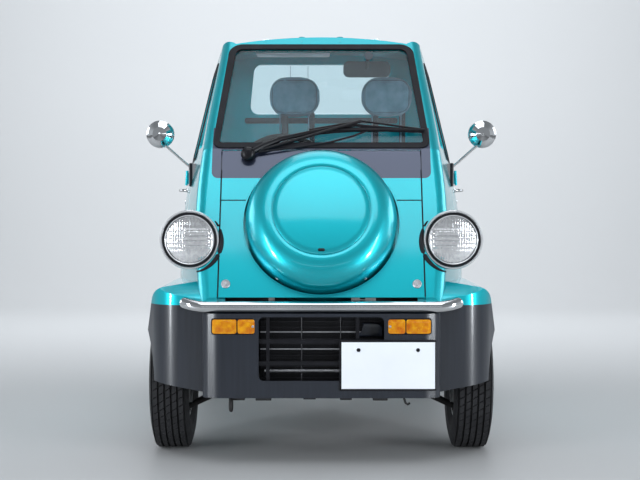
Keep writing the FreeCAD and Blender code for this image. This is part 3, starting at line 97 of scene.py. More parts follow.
def mesh_piece(name, vertices, faces):
    """A new mesh object at the origin from points and faces in the row frame."""
    mesh = bpy.data.meshes.new(name)
    mesh.from_pydata([tuple(v) for v in vertices], [], faces)
    mesh.update()
    made = bpy.data.objects.new(name, mesh)
    bpy.context.scene.collection.objects.link(made)
    return made


def backdrop():
    """The floor and wall as one sheet that bends upwards behind the car."""
    rows = [(-FLOOR_HALF, 0.0), (WALL_START - WALL_CURVE, 0.0)]
    for step in range(1, BEND_STEPS + 1):
        turn = math.radians(90) * step / BEND_STEPS
        forward = WALL_START - WALL_CURVE + WALL_CURVE * math.sin(turn)
        rows.append((forward, WALL_CURVE * (1 - math.cos(turn))))
    rows.append((WALL_START, WALL_TOP))
    vertices = [(side * FLOOR_HALF, y, z) for y, z in rows for side in (-1, 1)]
    faces = [(2 * i, 2 * i + 1, 2 * i + 3, 2 * i + 2) for i in range(len(rows) - 1)]
    sheet = mesh_piece("StudioFloor", vertices, faces)
    sheet.data.shade_smooth()
    return sheet


def area_lamp(name, spot, target, size, power):
    """A soft rectangular lamp that faces its target."""
    data = bpy.data.lights.new(name, "AREA")
    data.shape = "RECTANGLE"
    data.size, data.size_y = size
    data.energy = power
    data.color = LAMP_COLOUR
    lamp = bpy.data.objects.new(name, data)
    lamp.location = spot
    lamp.rotation_euler = (Vector(target) - Vector(spot)).to_track_quat("-Z", "Y").to_euler()
    bpy.context.scene.collection.objects.link(lamp)
    return lamp


FLOOR_ROUGHNESS = 0.6
FLOOR_GRAIN = 1.5
FLOOR_TONES = (0.48, 0.54)
floor = backdrop()
floor_finish = bpy.data.materials.new("PaleFloor")
floor_finish.use_nodes = True
floor_shader = floor_finish.node_tree.nodes["Principled BSDF"]
floor_shader.inputs["Roughness"].default_value = FLOOR_ROUGHNESS
floor_nodes = floor_finish.node_tree
grain = floor_nodes.nodes.new("ShaderNodeTexNoise")
grain.inputs["Scale"].default_value = FLOOR_GRAIN
tone = floor_nodes.nodes.new("ShaderNodeMapRange")
tone.inputs["To Min"].default_value = FLOOR_TONES[0]
tone.inputs["To Max"].default_value = FLOOR_TONES[1]
floor_nodes.links.new(grain.outputs[0], tone.inputs["Value"])
floor_nodes.links.new(tone.outputs[0], floor_shader.inputs["Base Color"])
side_seen = floor_nodes.nodes.new("ShaderNodeNewGeometry")
clear = floor_nodes.nodes.new("ShaderNodeBsdfTransparent")
either = floor_nodes.nodes.new("ShaderNodeMixShader")
floor_nodes.links.new(side_seen.outputs["Backfacing"], either.inputs[0])
floor_nodes.links.new(floor_shader.outputs[0], either.inputs[1])
floor_nodes.links.new(clear.outputs[0], either.inputs[2])
floor_nodes.links.new(either.outputs[0], floor_nodes.nodes["Material Output"].inputs[0])
floor.data.materials.append(floor_finish)

# Each lamp has its name, place, target, width and height in metres, and power in watts.
CAR_MIDDLE = (0.0, 0.0, 0.8)
LAMPS_ABOVE = (
    ("LampTop", (0.0, -3.1, 4.4), (0.0, -1.2, 0.9), (3.0, 2.0), 48),
    ("LampFront", (0.0, -7.4, 1.7), (0.0, -1.0, 0.8), (5.0, 0.30), 8),
    ("LampScreen", (0.0, -1.5, 4.7), (0.0, -0.9, 1.3), (3.0, 1.3), 8),
    ("LampRoof", (0.0, 0.6, 5.0), CAR_MIDDLE, (2.6, 3.0), 40),
)
LAMPS_BESIDE = (
    ("LampStrip", (3.7, -4.4, 1.4), (0.0, -1.2, 0.7), (0.45, 2.8), 62),
    ("LampLow", (3.7, -4.4, 0.55), (0.0, -1.2, 0.45), (0.42, 0.75), 48),
    ("LampSide", (5.2, 0.5, 2.4), CAR_MIDDLE, (4.0, 2.6), 90),
)
LAMPS_BEHIND = (
    ("LampBack", (0.0, 5.0, 4.0), CAR_MIDDLE, (4.5, 1.2), 60),
    ("LampWall", (0.0, 3.6, 5.2), (0.0, WALL_START, 2.0), (9.0, 1.5), 520),
)
for name, spot, target, size, power in LAMPS_ABOVE:
    area_lamp(name, spot, target, size, power)
for side, side_name in ((-1, "Right"), (1, "Left")):
    for name, (across, along, rise), target, size, power in LAMPS_BESIDE:
        area_lamp(name + side_name, (side * across, along, rise), target, size, power)
for name, spot, target, size, power in LAMPS_BEHIND:
    area_lamp(name, spot, target, size, power)

# %% [markdown]
# The world's light depends only on the direction that a ray leaves in, so it is the same from
# every viewpoint. A map of the direction's Y part runs from the dim end to the bright one.

# %% Light the world
WORLD_COLOUR = (0.88, 0.94, 1.0, 1)
WORLD_DIM = 0.34
WORLD_BRIGHT = 0.60
ZENITH_SHARE = 0.45
FRONT_TURN = (-0.95, -0.35)
ZENITH_TURN = (0.25, 0.75)
world = bpy.data.worlds.new("Studio")
world.use_nodes = True
world_tree = world.node_tree
direction = world_tree.nodes.new("ShaderNodeTexCoord")
parts = world_tree.nodes.new("ShaderNodeSeparateXYZ")
world_tree.links.new(direction.outputs["Generated"], parts.inputs[0])


def world_ramp(part, start, end, low, high):
    """A smooth step of the direction's part from low to high."""
    ramp = world_tree.nodes.new("ShaderNodeMapRange")
    ramp.interpolation_type = "SMOOTHSTEP"
    world_tree.links.new(parts.outputs[part], ramp.inputs["Value"])
    limits = {"From Min": start, "From Max": end, "To Min": low, "To Max": high}
    for socket, value in limits.items():
        ramp.inputs[socket].default_value = value
    return ramp.outputs[0]


both = world_tree.nodes.new("ShaderNodeMath")
both.operation = "MULTIPLY"
world_tree.links.new(world_ramp("Y", *FRONT_TURN, WORLD_DIM, WORLD_BRIGHT), both.inputs[0])
world_tree.links.new(world_ramp("Z", *ZENITH_TURN, 1.0, ZENITH_SHARE), both.inputs[1])
background = world_tree.nodes["Background"]
background.inputs["Color"].default_value = WORLD_COLOUR
world_tree.links.new(both.outputs[0], background.inputs["Strength"])
bpy.context.scene.world = world
bpy.context.scene.view_settings.view_transform = "Standard"
print("lamps:", len(bpy.data.lights))

# %% [markdown]
# ## Finishes
# A finish is a small graph of nodes round one Principled shader. Real surfaces are never one
# flat number, so a noise texture nudges the colour, the roughness and a shallow bump. The
# textures read Object coordinates in metres, which stay with the piece when it moves.

# %% Helpers for node graphs
NOISE_LOW = 0.3
NOISE_HIGH = 0.7


def add_node(tree, kind, inputs=None, **settings):
    """A node whose inputs are given as sockets, which are linked, or as plain values."""
    made = tree.nodes.new(kind)
    for key, value in settings.items():
        setattr(made, key, value)
    for key, value in (inputs or {}).items():
        if isinstance(value, bpy.types.NodeSocket):
            tree.links.new(value, made.inputs[key])
        else:
            made.inputs[key].default_value = value
    return made


def sum_of(tree, operation, first, second):
    """The output of a math node on two values or sockets."""
    return add_node(tree, "ShaderNodeMath", {0: first, 1: second}, operation=operation).outputs[0]


def blend_colours(tree, share, first, second):
    """The output of a colour mix: first at share 0, second at share 1."""
    made = add_node(tree, "ShaderNodeMix", {0: share, 6: first, 7: second}, data_type="RGBA")
    return made.outputs[2]


def remapped(tree, value, low, high):
    """A 0 to 1 value stretched to between low and high."""
    return add_node(tree, "ShaderNodeMapRange", {"Value": value, "To Min": low, "To Max": high}).outputs[0]


class Finish:
    """A material in the making: its tree, shader and texture space."""

    def __init__(self, name, roughness=0.5, **sockets):
        self.material = bpy.data.materials.new(name)
        self.material.use_nodes = True
        self.tree = self.material.node_tree
        self.shader = self.tree.nodes["Principled BSDF"]
        self.space = add_node(self.tree, "ShaderNodeTexCoord").outputs["Object"]
        self.shader.inputs["Roughness"].default_value = roughness
        for key, value in sockets.items():
            self.shader.inputs[key.replace("_", " ")].default_value = value

    def feed(self, socket, source):
        """Links a node's output to one of the shader's sockets."""
        self.tree.links.new(source, self.shader.inputs[socket])

    def noise(self, scale, detail=3.0, stretch=(1, 1, 1)):
        """A noise value between 0 and 1, finer with scale, drawn out along an axis by stretch."""
        mapping = add_node(self.tree, "ShaderNodeMapping", {"Vector": self.space, "Scale": stretch})
        made = add_node(self.tree, "ShaderNodeTexNoise",
                        {"Vector": mapping.outputs[0], "Scale": scale, "Detail": detail})
        return made.outputs[0]

    def mottled(self, dark, light, scale, detail=3.0, stretch=(1, 1, 1)):
        """Sets a colour that wanders between two close shades."""
        value = self.noise(scale, detail, stretch)
        limits = {"Value": value, "From Min": NOISE_LOW, "From Max": NOISE_HIGH}
        spread = add_node(self.tree, "ShaderNodeMapRange", limits)
        self.feed("Base Color", blend_colours(self.tree, spread.outputs[0], (*dark, 1), (*light, 1)))
        return self

    def rough_between(self, low, high, scale, stretch=(1, 1, 1)):
        """Sets a roughness that wanders between two values."""
        self.feed("Roughness", remapped(self.tree, self.noise(scale, 3.0, stretch), low, high))
        return self

    def grain(self, scale, depth, strength=0.3, stretch=(1, 1, 1)):
        """A bump from fine noise, its depth in metres."""
        self.bump_from(self.noise(scale, 2.0, stretch), depth, strength)
        return self

    def bump_from(self, height, depth, strength=0.3):
        """Tilts the surface as a height map would, its depth in metres."""
        bump = add_node(self.tree, "ShaderNodeBump",
                        {"Height": height, "Distance": depth, "Strength": strength})
        self.feed("Normal", bump.outputs[0])


# %% [markdown]
# ### Turquoise metallic paint
# Metallic paint is a coloured layer full of tiny mirrors under a clear, glossy coat. The shader's
# own Metallic and Coat inputs do both: the metal share tints the reflections, and the coat adds
# the white ones on top. A very fine Voronoi pattern makes single flakes twinkle. The same graph
# also paints the slate-blue band at the foot of the windscreen, by measuring where on the nose
# the point lies, so that band and body share one clear coat with no step between them.

# %% Mix the paint
PAINT = (0.0, 0.50, 0.57)
PAINT_DEEP = (0.0, 0.40, 0.48)
BAND = (0.040, 0.050, 0.090)
BAND_HALF = 0.408
BAND_FOOT = 1.030
BAND_ROUND = 0.024
BAND_BACK = -1.0


def band_mask(tree, space):
    """A value of 1 inside the band's rounded rectangle on the nose, and 0 outside it."""
    apart = add_node(tree, "ShaderNodeSeparateXYZ", {"Vector": space})
    width = sum_of(tree, "ABSOLUTE", apart.outputs["X"], 0.0)
    out = sum_of(tree, "MAXIMUM", sum_of(tree, "SUBTRACT", width, BAND_HALF - BAND_ROUND), 0.0)
    down = sum_of(tree, "SUBTRACT", BAND_FOOT + BAND_ROUND, apart.outputs["Z"])
    down = sum_of(tree, "MAXIMUM", down, 0.0)
    reach = sum_of(tree, "SQRT", sum_of(tree, "ADD", sum_of(tree, "MULTIPLY", out, out),
                                        sum_of(tree, "MULTIPLY", down, down)), 0.0)
    inside = sum_of(tree, "LESS_THAN", reach, BAND_ROUND)
    ahead = sum_of(tree, "LESS_THAN", apart.outputs["Y"], BAND_BACK)
    return sum_of(tree, "MULTIPLY", inside, ahead)


def car_paint(name, banded):
    """The metallic paint, with or without the band."""
    made = Finish(name, roughness=0.36, Metallic=0.72, Coat_Weight=0.85, Coat_Roughness=0.08)
    tree = made.tree
    wander = made.noise(1.4, 2.0)
    colour = blend_colours(tree, wander, (*PAINT_DEEP, 1), (*PAINT, 1))
    flakes = add_node(tree, "ShaderNodeTexVoronoi", {"Vector": made.space, "Scale": 2600.0})
    sparkle = add_node(tree, "ShaderNodeMapRange",
                       {"Value": flakes.outputs["Color"], "To Min": 0.88, "To Max": 1.1})
    colour = add_node(tree, "ShaderNodeVectorMath", {0: colour, 1: sparkle.outputs[0]},
                      operation="MULTIPLY").outputs[0]
    if banded:
        colour = blend_colours(tree, band_mask(tree, made.space), colour, (*BAND, 1))
    made.feed("Base Color", colour)
    made.bump_from(made.noise(9.0, 1.0), 0.0004, 0.05)
    return made.material


finishes = {
    "body_paint": car_paint("BodyPaint", banded=True),
    "cover_paint": car_paint("CoverPaint", banded=False),
}
print("paint ready")

# %% [markdown]
# ### Plastics and rubber
# The bumper and wheel flares are unpainted moulded plastic: dark slate grey, satin, with a fine
# grain drawn out downwards that breaks every highlight into upright threads. Rubber is darker
# and duller.

# %% Mould the plastics and rubber
THREADS = (1, 1, 0.04)
finishes["grey_plastic"] = Finish("GreyPlastic", Coat_Weight=0.40, Coat_Roughness=0.15) \
    .mottled((0.006, 0.009, 0.016), (0.011, 0.015, 0.025), scale=90.0, detail=2.0, stretch=THREADS) \
    .rough_between(low=0.30, high=0.46, scale=160.0, stretch=THREADS) \
    .grain(scale=320.0, depth=0.0005, strength=0.20, stretch=THREADS).material
finishes["black_plastic"] = Finish("BlackPlastic", Specular_IOR_Level=0.3) \
    .mottled((0.003, 0.003, 0.005), (0.007, 0.007, 0.010), scale=20.0) \
    .rough_between(low=0.30, high=0.45, scale=30.0).grain(scale=700.0, depth=0.0003, strength=0.2).material
finishes["seal_rubber"] = Finish("SealRubber", Specular_IOR_Level=0.25) \
    .mottled((0.006, 0.006, 0.009), (0.012, 0.012, 0.016), scale=12.0) \
    .rough_between(low=0.50, high=0.65, scale=25.0).material
finishes["tyre_rubber"] = Finish("TyreRubber") \
    .mottled((0.008, 0.008, 0.010), (0.016, 0.016, 0.018), scale=18.0) \
    .rough_between(low=0.60, high=0.80, scale=40.0).grain(scale=420.0, depth=0.0006, strength=0.25).material
finishes["floor_mat"] = Finish("FloorMat") \
    .mottled((0.02, 0.02, 0.022), (0.035, 0.035, 0.038), scale=30.0) \
    .rough_between(low=0.7, high=0.9, scale=20.0).grain(scale=260.0, depth=0.001, strength=0.4).material
finishes["grey_interior"] = Finish("GreyInterior") \
    .mottled((0.050, 0.066, 0.078), (0.070, 0.088, 0.102), scale=9.0) \
    .rough_between(low=0.45, high=0.6, scale=20.0).grain(scale=500.0, depth=0.0005, strength=0.25).material

# %% [markdown]
# ### Bright metal and steel
# Chrome is a near-perfect mirror, so only a trace of unevenness keeps it from looking computed.
# Cast, rolled and painted steel differ in how much their roughness wanders.

# %% Polish and cast the metals
finishes["chrome"] = Finish("Chrome", Metallic=1.0) \
    .mottled((0.60, 0.61, 0.62), (0.72, 0.73, 0.74), scale=5.0) \
    .rough_between(low=0.03, high=0.07, scale=30.0).material
finishes["wheel_steel"] = Finish("WheelSteel", Metallic=0.35, Coat_Weight=0.4) \
    .mottled((0.42, 0.43, 0.44), (0.5, 0.51, 0.52), scale=12.0) \
    .rough_between(low=0.28, high=0.42, scale=40.0).material
finishes["radiator_metal"] = Finish("RadiatorMetal", Metallic=0.3) \
    .mottled((0.004, 0.004, 0.006), (0.010, 0.010, 0.014), scale=16.0) \
    .rough_between(low=0.35, high=0.55, scale=60.0).material
finishes["underbody"] = Finish("Underbody") \
    .mottled((0.010, 0.010, 0.011), (0.022, 0.021, 0.020), scale=8.0) \
    .rough_between(low=0.5, high=0.75, scale=20.0).grain(scale=160.0, depth=0.001, strength=0.3).material
finishes["cast_metal"] = Finish("CastMetal", Metallic=0.7) \
    .mottled((0.14, 0.135, 0.13), (0.22, 0.215, 0.21), scale=14.0) \
    .rough_between(low=0.45, high=0.7, scale=30.0).grain(scale=240.0, depth=0.0012, strength=0.35).material
finishes["exhaust_steel"] = Finish("ExhaustSteel", Metallic=0.85) \
    .mottled((0.18, 0.15, 0.13), (0.32, 0.29, 0.27), scale=10.0) \
    .rough_between(low=0.35, high=0.6, scale=20.0).material
finishes["plate_white"] = Finish("PlateWhite", Coat_Weight=0.2) \
    .mottled((0.84, 0.87, 0.92), (0.88, 0.91, 0.96), scale=7.0) \
    .rough_between(low=0.35, high=0.45, scale=15.0).material
bright_steel = Finish("BrightSteel", Metallic=1.0) \
    .mottled((0.42, 0.42, 0.44), (0.58, 0.58, 0.60), scale=60.0) \
    .rough_between(low=0.25, high=0.45, scale=120.0).material
reflector_silver = Finish("ReflectorSilver", Metallic=0.85) \
    .mottled((0.86, 0.87, 0.90), (0.96, 0.96, 0.98), scale=30.0) \
    .rough_between(low=0.08, high=0.18, scale=60.0).material

# %% [markdown]
# ### Glass and lenses
# Clear panes are thin, so light should pass straight through them. Transmission on the shader does
# that, and a low index keeps the view behind them in place. The amber lenses have a mirror close
# behind them, so they shine like coloured foil: a bright base, part of it metallic, under a
# clear coat gives that at every angle. The headlamp lens is made the same way, in pale silver,
# and only part of the light goes through it.

# %% Pour the glass
PALER = 1.02


def glass(name, colour, index, roughness=0.0):
    """Clear or tinted glass whose body colour barely wanders."""
    made = Finish(name, roughness=roughness, Transmission_Weight=1.0, IOR=index,
                  Coat_Weight=0.9, Coat_Roughness=0.0)
    paler = tuple(min(1.0, part * PALER) for part in colour)
    return made.mottled(colour, paler, scale=3.0)


def lit_plastic(name, dark, light):
    """A coloured lens with its mirror close behind."""
    made = Finish(name, roughness=0.25, Coat_Weight=0.5, Coat_Roughness=0.02, Metallic=0.45)
    return made.mottled(dark, light, scale=55.0, detail=4.0) \
        .grain(scale=420.0, depth=0.0012, strength=0.35).material


finishes["window_glass"] = glass("WindowGlass", (0.78, 0.90, 0.93), 1.12).material
lamp_lens = Finish("LampGlass", Metallic=0.68, Transmission_Weight=0.45, IOR=1.35, Coat_Weight=1.0)
lamp_lens.mottled((0.72, 0.72, 0.74), (1.0, 1.0, 1.0), scale=130.0, detail=4.0, stretch=(1, 1, 0.5))
lamp_lens.rough_between(low=0.08, high=0.20, scale=60.0)
finishes["lamp_glass"] = lamp_lens.material
polished = Finish("PolishedTrim", Metallic=0.62, Coat_Weight=0.5) \
    .mottled((0.88, 0.88, 0.90), (0.96, 0.96, 0.97), scale=8.0) \
    .rough_between(low=0.06, high=0.12, scale=30.0).material
finishes["amber_lens"] = lit_plastic("AmberLens", (0.70, 0.16, 0.0), (1.0, 0.46, 0.0))
finishes["red_lens"] = lit_plastic("RedLens", (0.22, 0.002, 0.002), (0.55, 0.008, 0.008))

# %% [markdown]
# ### Seat cloth
# The seats wear a short-pile woven cloth, printed with a soft blue-grey mottle. Sheen gives the
# pale edge that fibres catch, and a fine bump stands for the weave.

# %% Weave the cloth
finishes["seat_fabric"] = Finish("CushionCloth", Sheen_Weight=0.35) \
    .mottled((0.18, 0.35, 0.46), (0.31, 0.52, 0.64), scale=26.0, detail=5.0) \
    .rough_between(low=0.8, high=0.95, scale=30.0).grain(scale=1200.0, depth=0.0006, strength=0.5).material

# %% [markdown]
# ### One finish for each solid
# The record names a material slot for every solid. The solids' meshes stay as they came, and only
# the slot on each is filled. The headlamp rims are polished steel, a little softer than chrome.

# %% Give every solid its finish
slot_of = {entry["node"]: entry["material_slot"] for entry in frame["record"]["subparts"]}
for node, slot in slot_of.items():
    solid = frame["nodes"][node]
    solid.data.materials.clear()
    solid.data.materials.append(finishes[slot])
frame["nodes"]["headlamp_rims"].data.materials[0] = polished
print("finishes:", len(finishes))

# %% [markdown]
# ## Tools for small pieces
# Most trim is a few simple closed forms: something turned on a lathe, something swept along a
# line, a plate cut to an outline, a block with rounded edges. One builder collects such forms in
# a single mesh, with its place already in the mesh. When the piece is settled the builder points
# every face outwards and makes soft edges look soft and sharp ones sharp.

# %% A builder for joined meshes
STEPS = 32
SOFT_ANGLE = math.radians(38)
ON_AXIS = 1e-6
NEARLY_ALONG = 0.9
UP = Vector((0, 0, 1))
AHEAD = Vector((0, -1, 0))
OUTWARD = Vector((1, 0, 0))


def placed(centre, out=UP, across=None):
    """A matrix at centre whose Z points along out and whose X is as near to across as it can be."""
    axis = Vector(out).normalized()
    if across:
        guide = Vector(across)
    else:
        guide = OUTWARD if abs(axis.x) < NEARLY_ALONG else Vector((0, 1, 0))
    first = (guide - guide.dot(axis) * axis).normalized()
    turn = Matrix((first, axis.cross(first), axis)).transposed().to_4x4()
    return Matrix.Translation(Vector(centre)) @ turn


class Piece:
    """One mesh made of simple closed forms, in the row frame and in metres."""

    def __init__(self, name):
        self.name = name
        self.mesh = bmesh.new()

    def skin(self, rings, wrap=False):
        """Joins rings of points, or single points at the ends, into one closed skin."""
        made = [[self.mesh.verts.new(point) for point in ring] for ring in rings]
        pairs = list(zip(made, made[1:])) + ([(made[-1], made[0])] if wrap else [])
        for first, second in pairs:
            count = max(len(first), len(second))
            for i in range(count):
                j = (i + 1) % count
                corners = [first[i % len(first)], first[j % len(first)],
                           second[j % len(second)], second[i % len(second)]]
                unique = [v for k, v in enumerate(corners) if v not in corners[:k]]
                if len(unique) > 2:
                    self.mesh.faces.new(unique)
        if not wrap:
            for ring in (made[0], made[-1]):
                if len(ring) > 2:
                    self.mesh.faces.new(ring)
        return self

    def turned(self, profile, place, steps=STEPS, wrap=False):
        """Spins (radius, height) points, in metres, about the place's Z."""
        rings = []
        for radius, height in profile:
            if radius < ON_AXIS:
                rings.append([place @ Vector((0, 0, height))])
                continue
            turns = [2 * math.pi * i / steps for i in range(steps)]
            ring = [Vector((radius * math.cos(a), radius * math.sin(a), height)) for a in turns]
            rings.append([place @ point for point in ring])
        return self.skin(rings, wrap)

    def swept(self, path, radius, sides=10, wrap=False, flat=1.0, across=None):
        """A round bar along a path. flat squeezes its section, and across sets the wide side."""
        path = [Vector(p) for p in path]
        rings = []
        side = None
        for i, point in enumerate(path):
            before = path[i - 1] if (i or wrap) else point
            after = path[(i + 1) % len(path)] if (i + 1 < len(path) or wrap) else point
            along = (after - before).normalized()
            free = UP if abs(along.z) < NEARLY_ALONG else OUTWARD
            guide = Vector(across) if across else (side or free)
            side = (guide - guide.dot(along) * along).normalized()
            other = along.cross(side)
            size = radius[i] if isinstance(radius, (list, tuple)) else radius
            turns = [2 * math.pi * k / sides for k in range(sides)]
            rings.append([point + size * (math.cos(a) * side + flat * math.sin(a) * other) for a in turns])
        return self.skin(rings, wrap)

    def slab(self, outline, place, depth, round_edge=0.0, segments=2):
        """A plate cut to a flat outline, centred on the place's plane."""
        rings = [[place @ Vector((x, y, z)) for x, y in outline] for z in (-depth / 2, depth / 2)]
        before = set(self.mesh.edges)
        self.skin(rings)
        return self.rounded(before, round_edge, segments)

    def block(self, size, place, round_edge=0.0, segments=2):
        """A box, its edges rounded."""
        w, d = size[0] / 2, size[1] / 2
        return self.slab([(-w, -d), (w, -d), (w, d), (-w, d)], place, size[2], round_edge, segments)

    def rounded(self, before, radius, segments):
        """Bevels the edges that weren't there before."""
        if radius > 0:
            fresh = [edge for edge in self.mesh.edges if edge not in before]
            bmesh.ops.bevel(self.mesh, geom=fresh, offset=radius, segments=segments, profile=0.5,
                            affect="EDGES", clamp_overlap=True)
        return self

    def settle(self, body, slot, finish=None, replaces=(), soft=SOFT_ANGLE):
        """Turns the builder into an object that rides on a body."""
        bmesh.ops.recalc_face_normals(self.mesh, faces=self.mesh.faces)
        made = mesh_piece(self.name, [], [])
        self.mesh.to_mesh(made.data)
        self.mesh.free()
        return settled(made, body, slot, finish, replaces, soft)


def settled(made, body, slot, finish=None, replaces=(), soft=SOFT_ANGLE):
    """Gives a finished mesh its material, taken from the slot unless a finish is given, its edges and its
    body.
    """
    made.data.materials.clear()
    made.data.materials.append(finish or finishes[slot])
    made.data.shade_smooth()
    made.data.set_sharp_from_angle(angle=soft)
    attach(made, body)
    if replaces:
        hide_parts(*replaces)
    return made


def round_rect(width, height, radius, steps=5):
    """The outline of a rectangle with round corners."""
    outline = []
    for right, above, start in ((1, 1, 0), (-1, 1, 90), (-1, -1, 180), (1, -1, 270)):
        for i in range(steps + 1):
            turn = math.radians(start + 90 * i / steps)
            outline.append((right * (width / 2 - radius) + radius * math.cos(turn),
                            above * (height / 2 - radius) + radius * math.sin(turn)))
    return outline


def circle_points(place, radius, count, start=0.0):
    """Points evenly spaced round the place's Z."""
    turns = [start + 2 * math.pi * i / count for i in range(count)]
    return [place @ Vector((radius * math.cos(a), radius * math.sin(a), 0)) for a in turns]


print("builder ready")

# %% [markdown]
# ## Tools that repeat
# Screws, nuts, fins and ribs are one small form set down many times. Geometry Nodes do that: the
# places are the vertices of a small mesh, each with a direction stored as an attribute, and the
# tree stamps the form on every one, turned to face that way. Realize Instances at the end turns
# the stamps into plain mesh, and the result is baked into the object at once.

# %% A stamp that repeats a form at many places
class Recipe:
    """A geometry tree in the making, with named sizes as its inputs."""

    def __init__(self, name, **sizes):
        self.tree = bpy.data.node_groups.new(name, "GeometryNodeTree")
        face = self.tree.interface
        face.new_socket("Geometry", in_out="OUTPUT", socket_type="NodeSocketGeometry")
        face.new_socket("Places", in_out="INPUT", socket_type="NodeSocketGeometry")
        for key, value in sizes.items():
            kind = "NodeSocketInt" if isinstance(value, int) else "NodeSocketFloat"
            face.new_socket(key, in_out="INPUT", socket_type=kind).default_value = value
        self.entry = self.tree.nodes.new("NodeGroupInput")
        self.exit = self.tree.nodes.new("NodeGroupOutput")

    def add(self, kind, inputs=None, **settings):
        """A node in this tree."""
        return add_node(self.tree, kind, inputs, **settings)

    def size(self, name):
        """The socket of one of the named sizes."""
        return self.entry.outputs[name]

    def attribute(self, name):
        """The direction that the places carry under that name."""
        made = self.add("GeometryNodeInputNamedAttribute", {"Name": name}, data_type="FLOAT_VECTOR")
        return made.outputs[0]

    def shifted(self, form, spot, scale=(1, 1, 1)):
        """The form moved to a spot and stretched. A spot's part may be a socket."""
        where = self.add("ShaderNodeCombineXYZ", {i: part for i, part in enumerate(spot)}).outputs[0]
        return self.add("GeometryNodeTransform",
                        {"Geometry": form, "Translation": where, "Scale": scale}).outputs[0]

    def joined(self, *forms):
        """Several forms as one."""
        join = self.add("GeometryNodeJoinGeometry")
        for form in forms:
            self.tree.links.new(form, join.inputs[0])
        return join.outputs[0]

    def stamped(self, form, material):
        """Sets the form down at every place, facing the stored direction, and ends the tree."""
        facing = self.add("FunctionNodeAlignRotationToVector",
                          {"Vector": self.attribute("facing")}, axis="Z")
        facing = self.add("FunctionNodeAlignRotationToVector",
                          {"Rotation": facing.outputs[0], "Vector": self.attribute("across")},
                          axis="X", pivot_axis="Z")
        points = self.add("GeometryNodeMeshToPoints", {"Mesh": self.entry.outputs["Places"]})
        stamps = self.add("GeometryNodeInstanceOnPoints",
                          {"Points": points.outputs[0], "Instance": form, "Rotation": facing.outputs[0]})
        real = self.add("GeometryNodeRealizeInstances", {"Geometry": stamps.outputs[0]})
        dressed = self.add("GeometryNodeSetMaterial", {"Geometry": real.outputs[0]})
        dressed.inputs["Material"].default_value = material
        self.tree.links.new(dressed.outputs[0], self.exit.inputs[0])
        return self


def baked(made):
    """The plain mesh that the object's modifiers leave. The modifiers are taken off."""
    evaluated = made.evaluated_get(bpy.context.evaluated_depsgraph_get())
    plain = bpy.data.meshes.new_from_object(evaluated)
    made.modifiers.clear()
    return plain


def stamp(recipe, name, places, body, slot, finish=None, replaces=(), **sizes):
    """Runs a recipe over (spot, facing, across) places, keeps the plain mesh and settles it."""
    made = mesh_piece(name, [spot for spot, _, _ in places], [])
    for key, column in (("facing", 1), ("across", 2)):
        layer = made.data.attributes.new(key, "FLOAT_VECTOR", "POINT")
        layer.data.foreach_set("vector", [part for place in places for part in Vector(place[column])])
    modifier = made.modifiers.new("Recipe", "NODES")
    modifier.node_group = recipe.tree
    for socket in recipe.tree.interface.items_tree:
        if socket.in_out == "INPUT" and socket.name in sizes:
            modifier[socket.identifier] = sizes[socket.name]
    made.data = baked(made)
    print(name, "places:", len(places), "faces:", len(made.data.polygons))
    return settled(made, body, slot, finish, replaces)


# %% [markdown]
# The commonest small parts come first. A hexagon bolt is a six-sided head on a round washer. A
# screw is a low dome with a cross cut into it, made by taking two thin blocks from the dome. Both
# have a radius as their only size, and every other measure is a share of it.

# %% Recipes for bolts and screws
def share_of(recipe, share):
    """A part of the recipe's radius."""
    factors = {0: recipe.size("Radius"), 1: share}
    return recipe.add("ShaderNodeMath", factors, operation="MULTIPLY").outputs[0]


def disc(recipe, radius, depth, lift, sides):
    """A flat round or many-sided plate whose foot is at lift."""
    measures = {"Vertices": sides, "Radius": share_of(recipe, radius), "Depth": share_of(recipe, depth)}
    made = recipe.add("GeometryNodeMeshCylinder", measures)
    return recipe.shifted(made.outputs[0], (0.0, 0.0, share_of(recipe, lift + depth / 2)))


def bolt_recipe(name, material):
    """A hexagon head, its chamfered crown and a washer."""
    recipe = Recipe(name, Radius=0.008)
    crown = recipe.add("GeometryNodeMeshCone",
                       {"Vertices": 6, "Radius Top": share_of(recipe, 0.82),
                        "Radius Bottom": share_of(recipe, 1.0), "Depth": share_of(recipe, 0.18)})
    crown = recipe.shifted(crown.outputs[0], (0.0, 0.0, share_of(recipe, 0.88)))
    form = recipe.joined(disc(recipe, 1.45, 0.2, 0.0, 18), disc(recipe, 1.0, 0.66, 0.21, 6), crown)
    return recipe.stamped(form, material)


def screw_recipe(name, material):
    """A low dome with a cross recess."""
    recipe = Recipe(name, Radius=0.005)
    dome = recipe.add("GeometryNodeMeshUVSphere",
                      {"Segments": 16, "Rings": 8, "Radius": share_of(recipe, 1.0)})
    dome = recipe.shifted(dome.outputs[0], (0.0, 0.0, 0.0), (1.0, 1.0, 0.45))
    bars = []
    for wide, long in ((1.3, 0.22), (0.22, 1.3)):
        size = recipe.add("ShaderNodeCombineXYZ", {0: share_of(recipe, wide), 1: share_of(recipe, long),
                                                   2: share_of(recipe, 0.6)}).outputs[0]
        bar = recipe.add("GeometryNodeMeshCube", {"Size": size})
        bars.append(recipe.shifted(bar.outputs[0], (0.0, 0.0, share_of(recipe, 0.5))))
    cut = recipe.add("GeometryNodeMeshBoolean", {"Mesh 1": dome}, operation="DIFFERENCE")
    for bar in bars:
        recipe.tree.links.new(bar, cut.inputs["Mesh 2"])
    return recipe.stamped(cut.outputs[0], material)


bolts = bolt_recipe("HexBolt", bright_steel)
screws = screw_recipe("CrossScrew", bright_steel)
dark_bolts = bolt_recipe("DarkBolt", finishes["underbody"])
print("recipes:", len(bpy.data.node_groups))

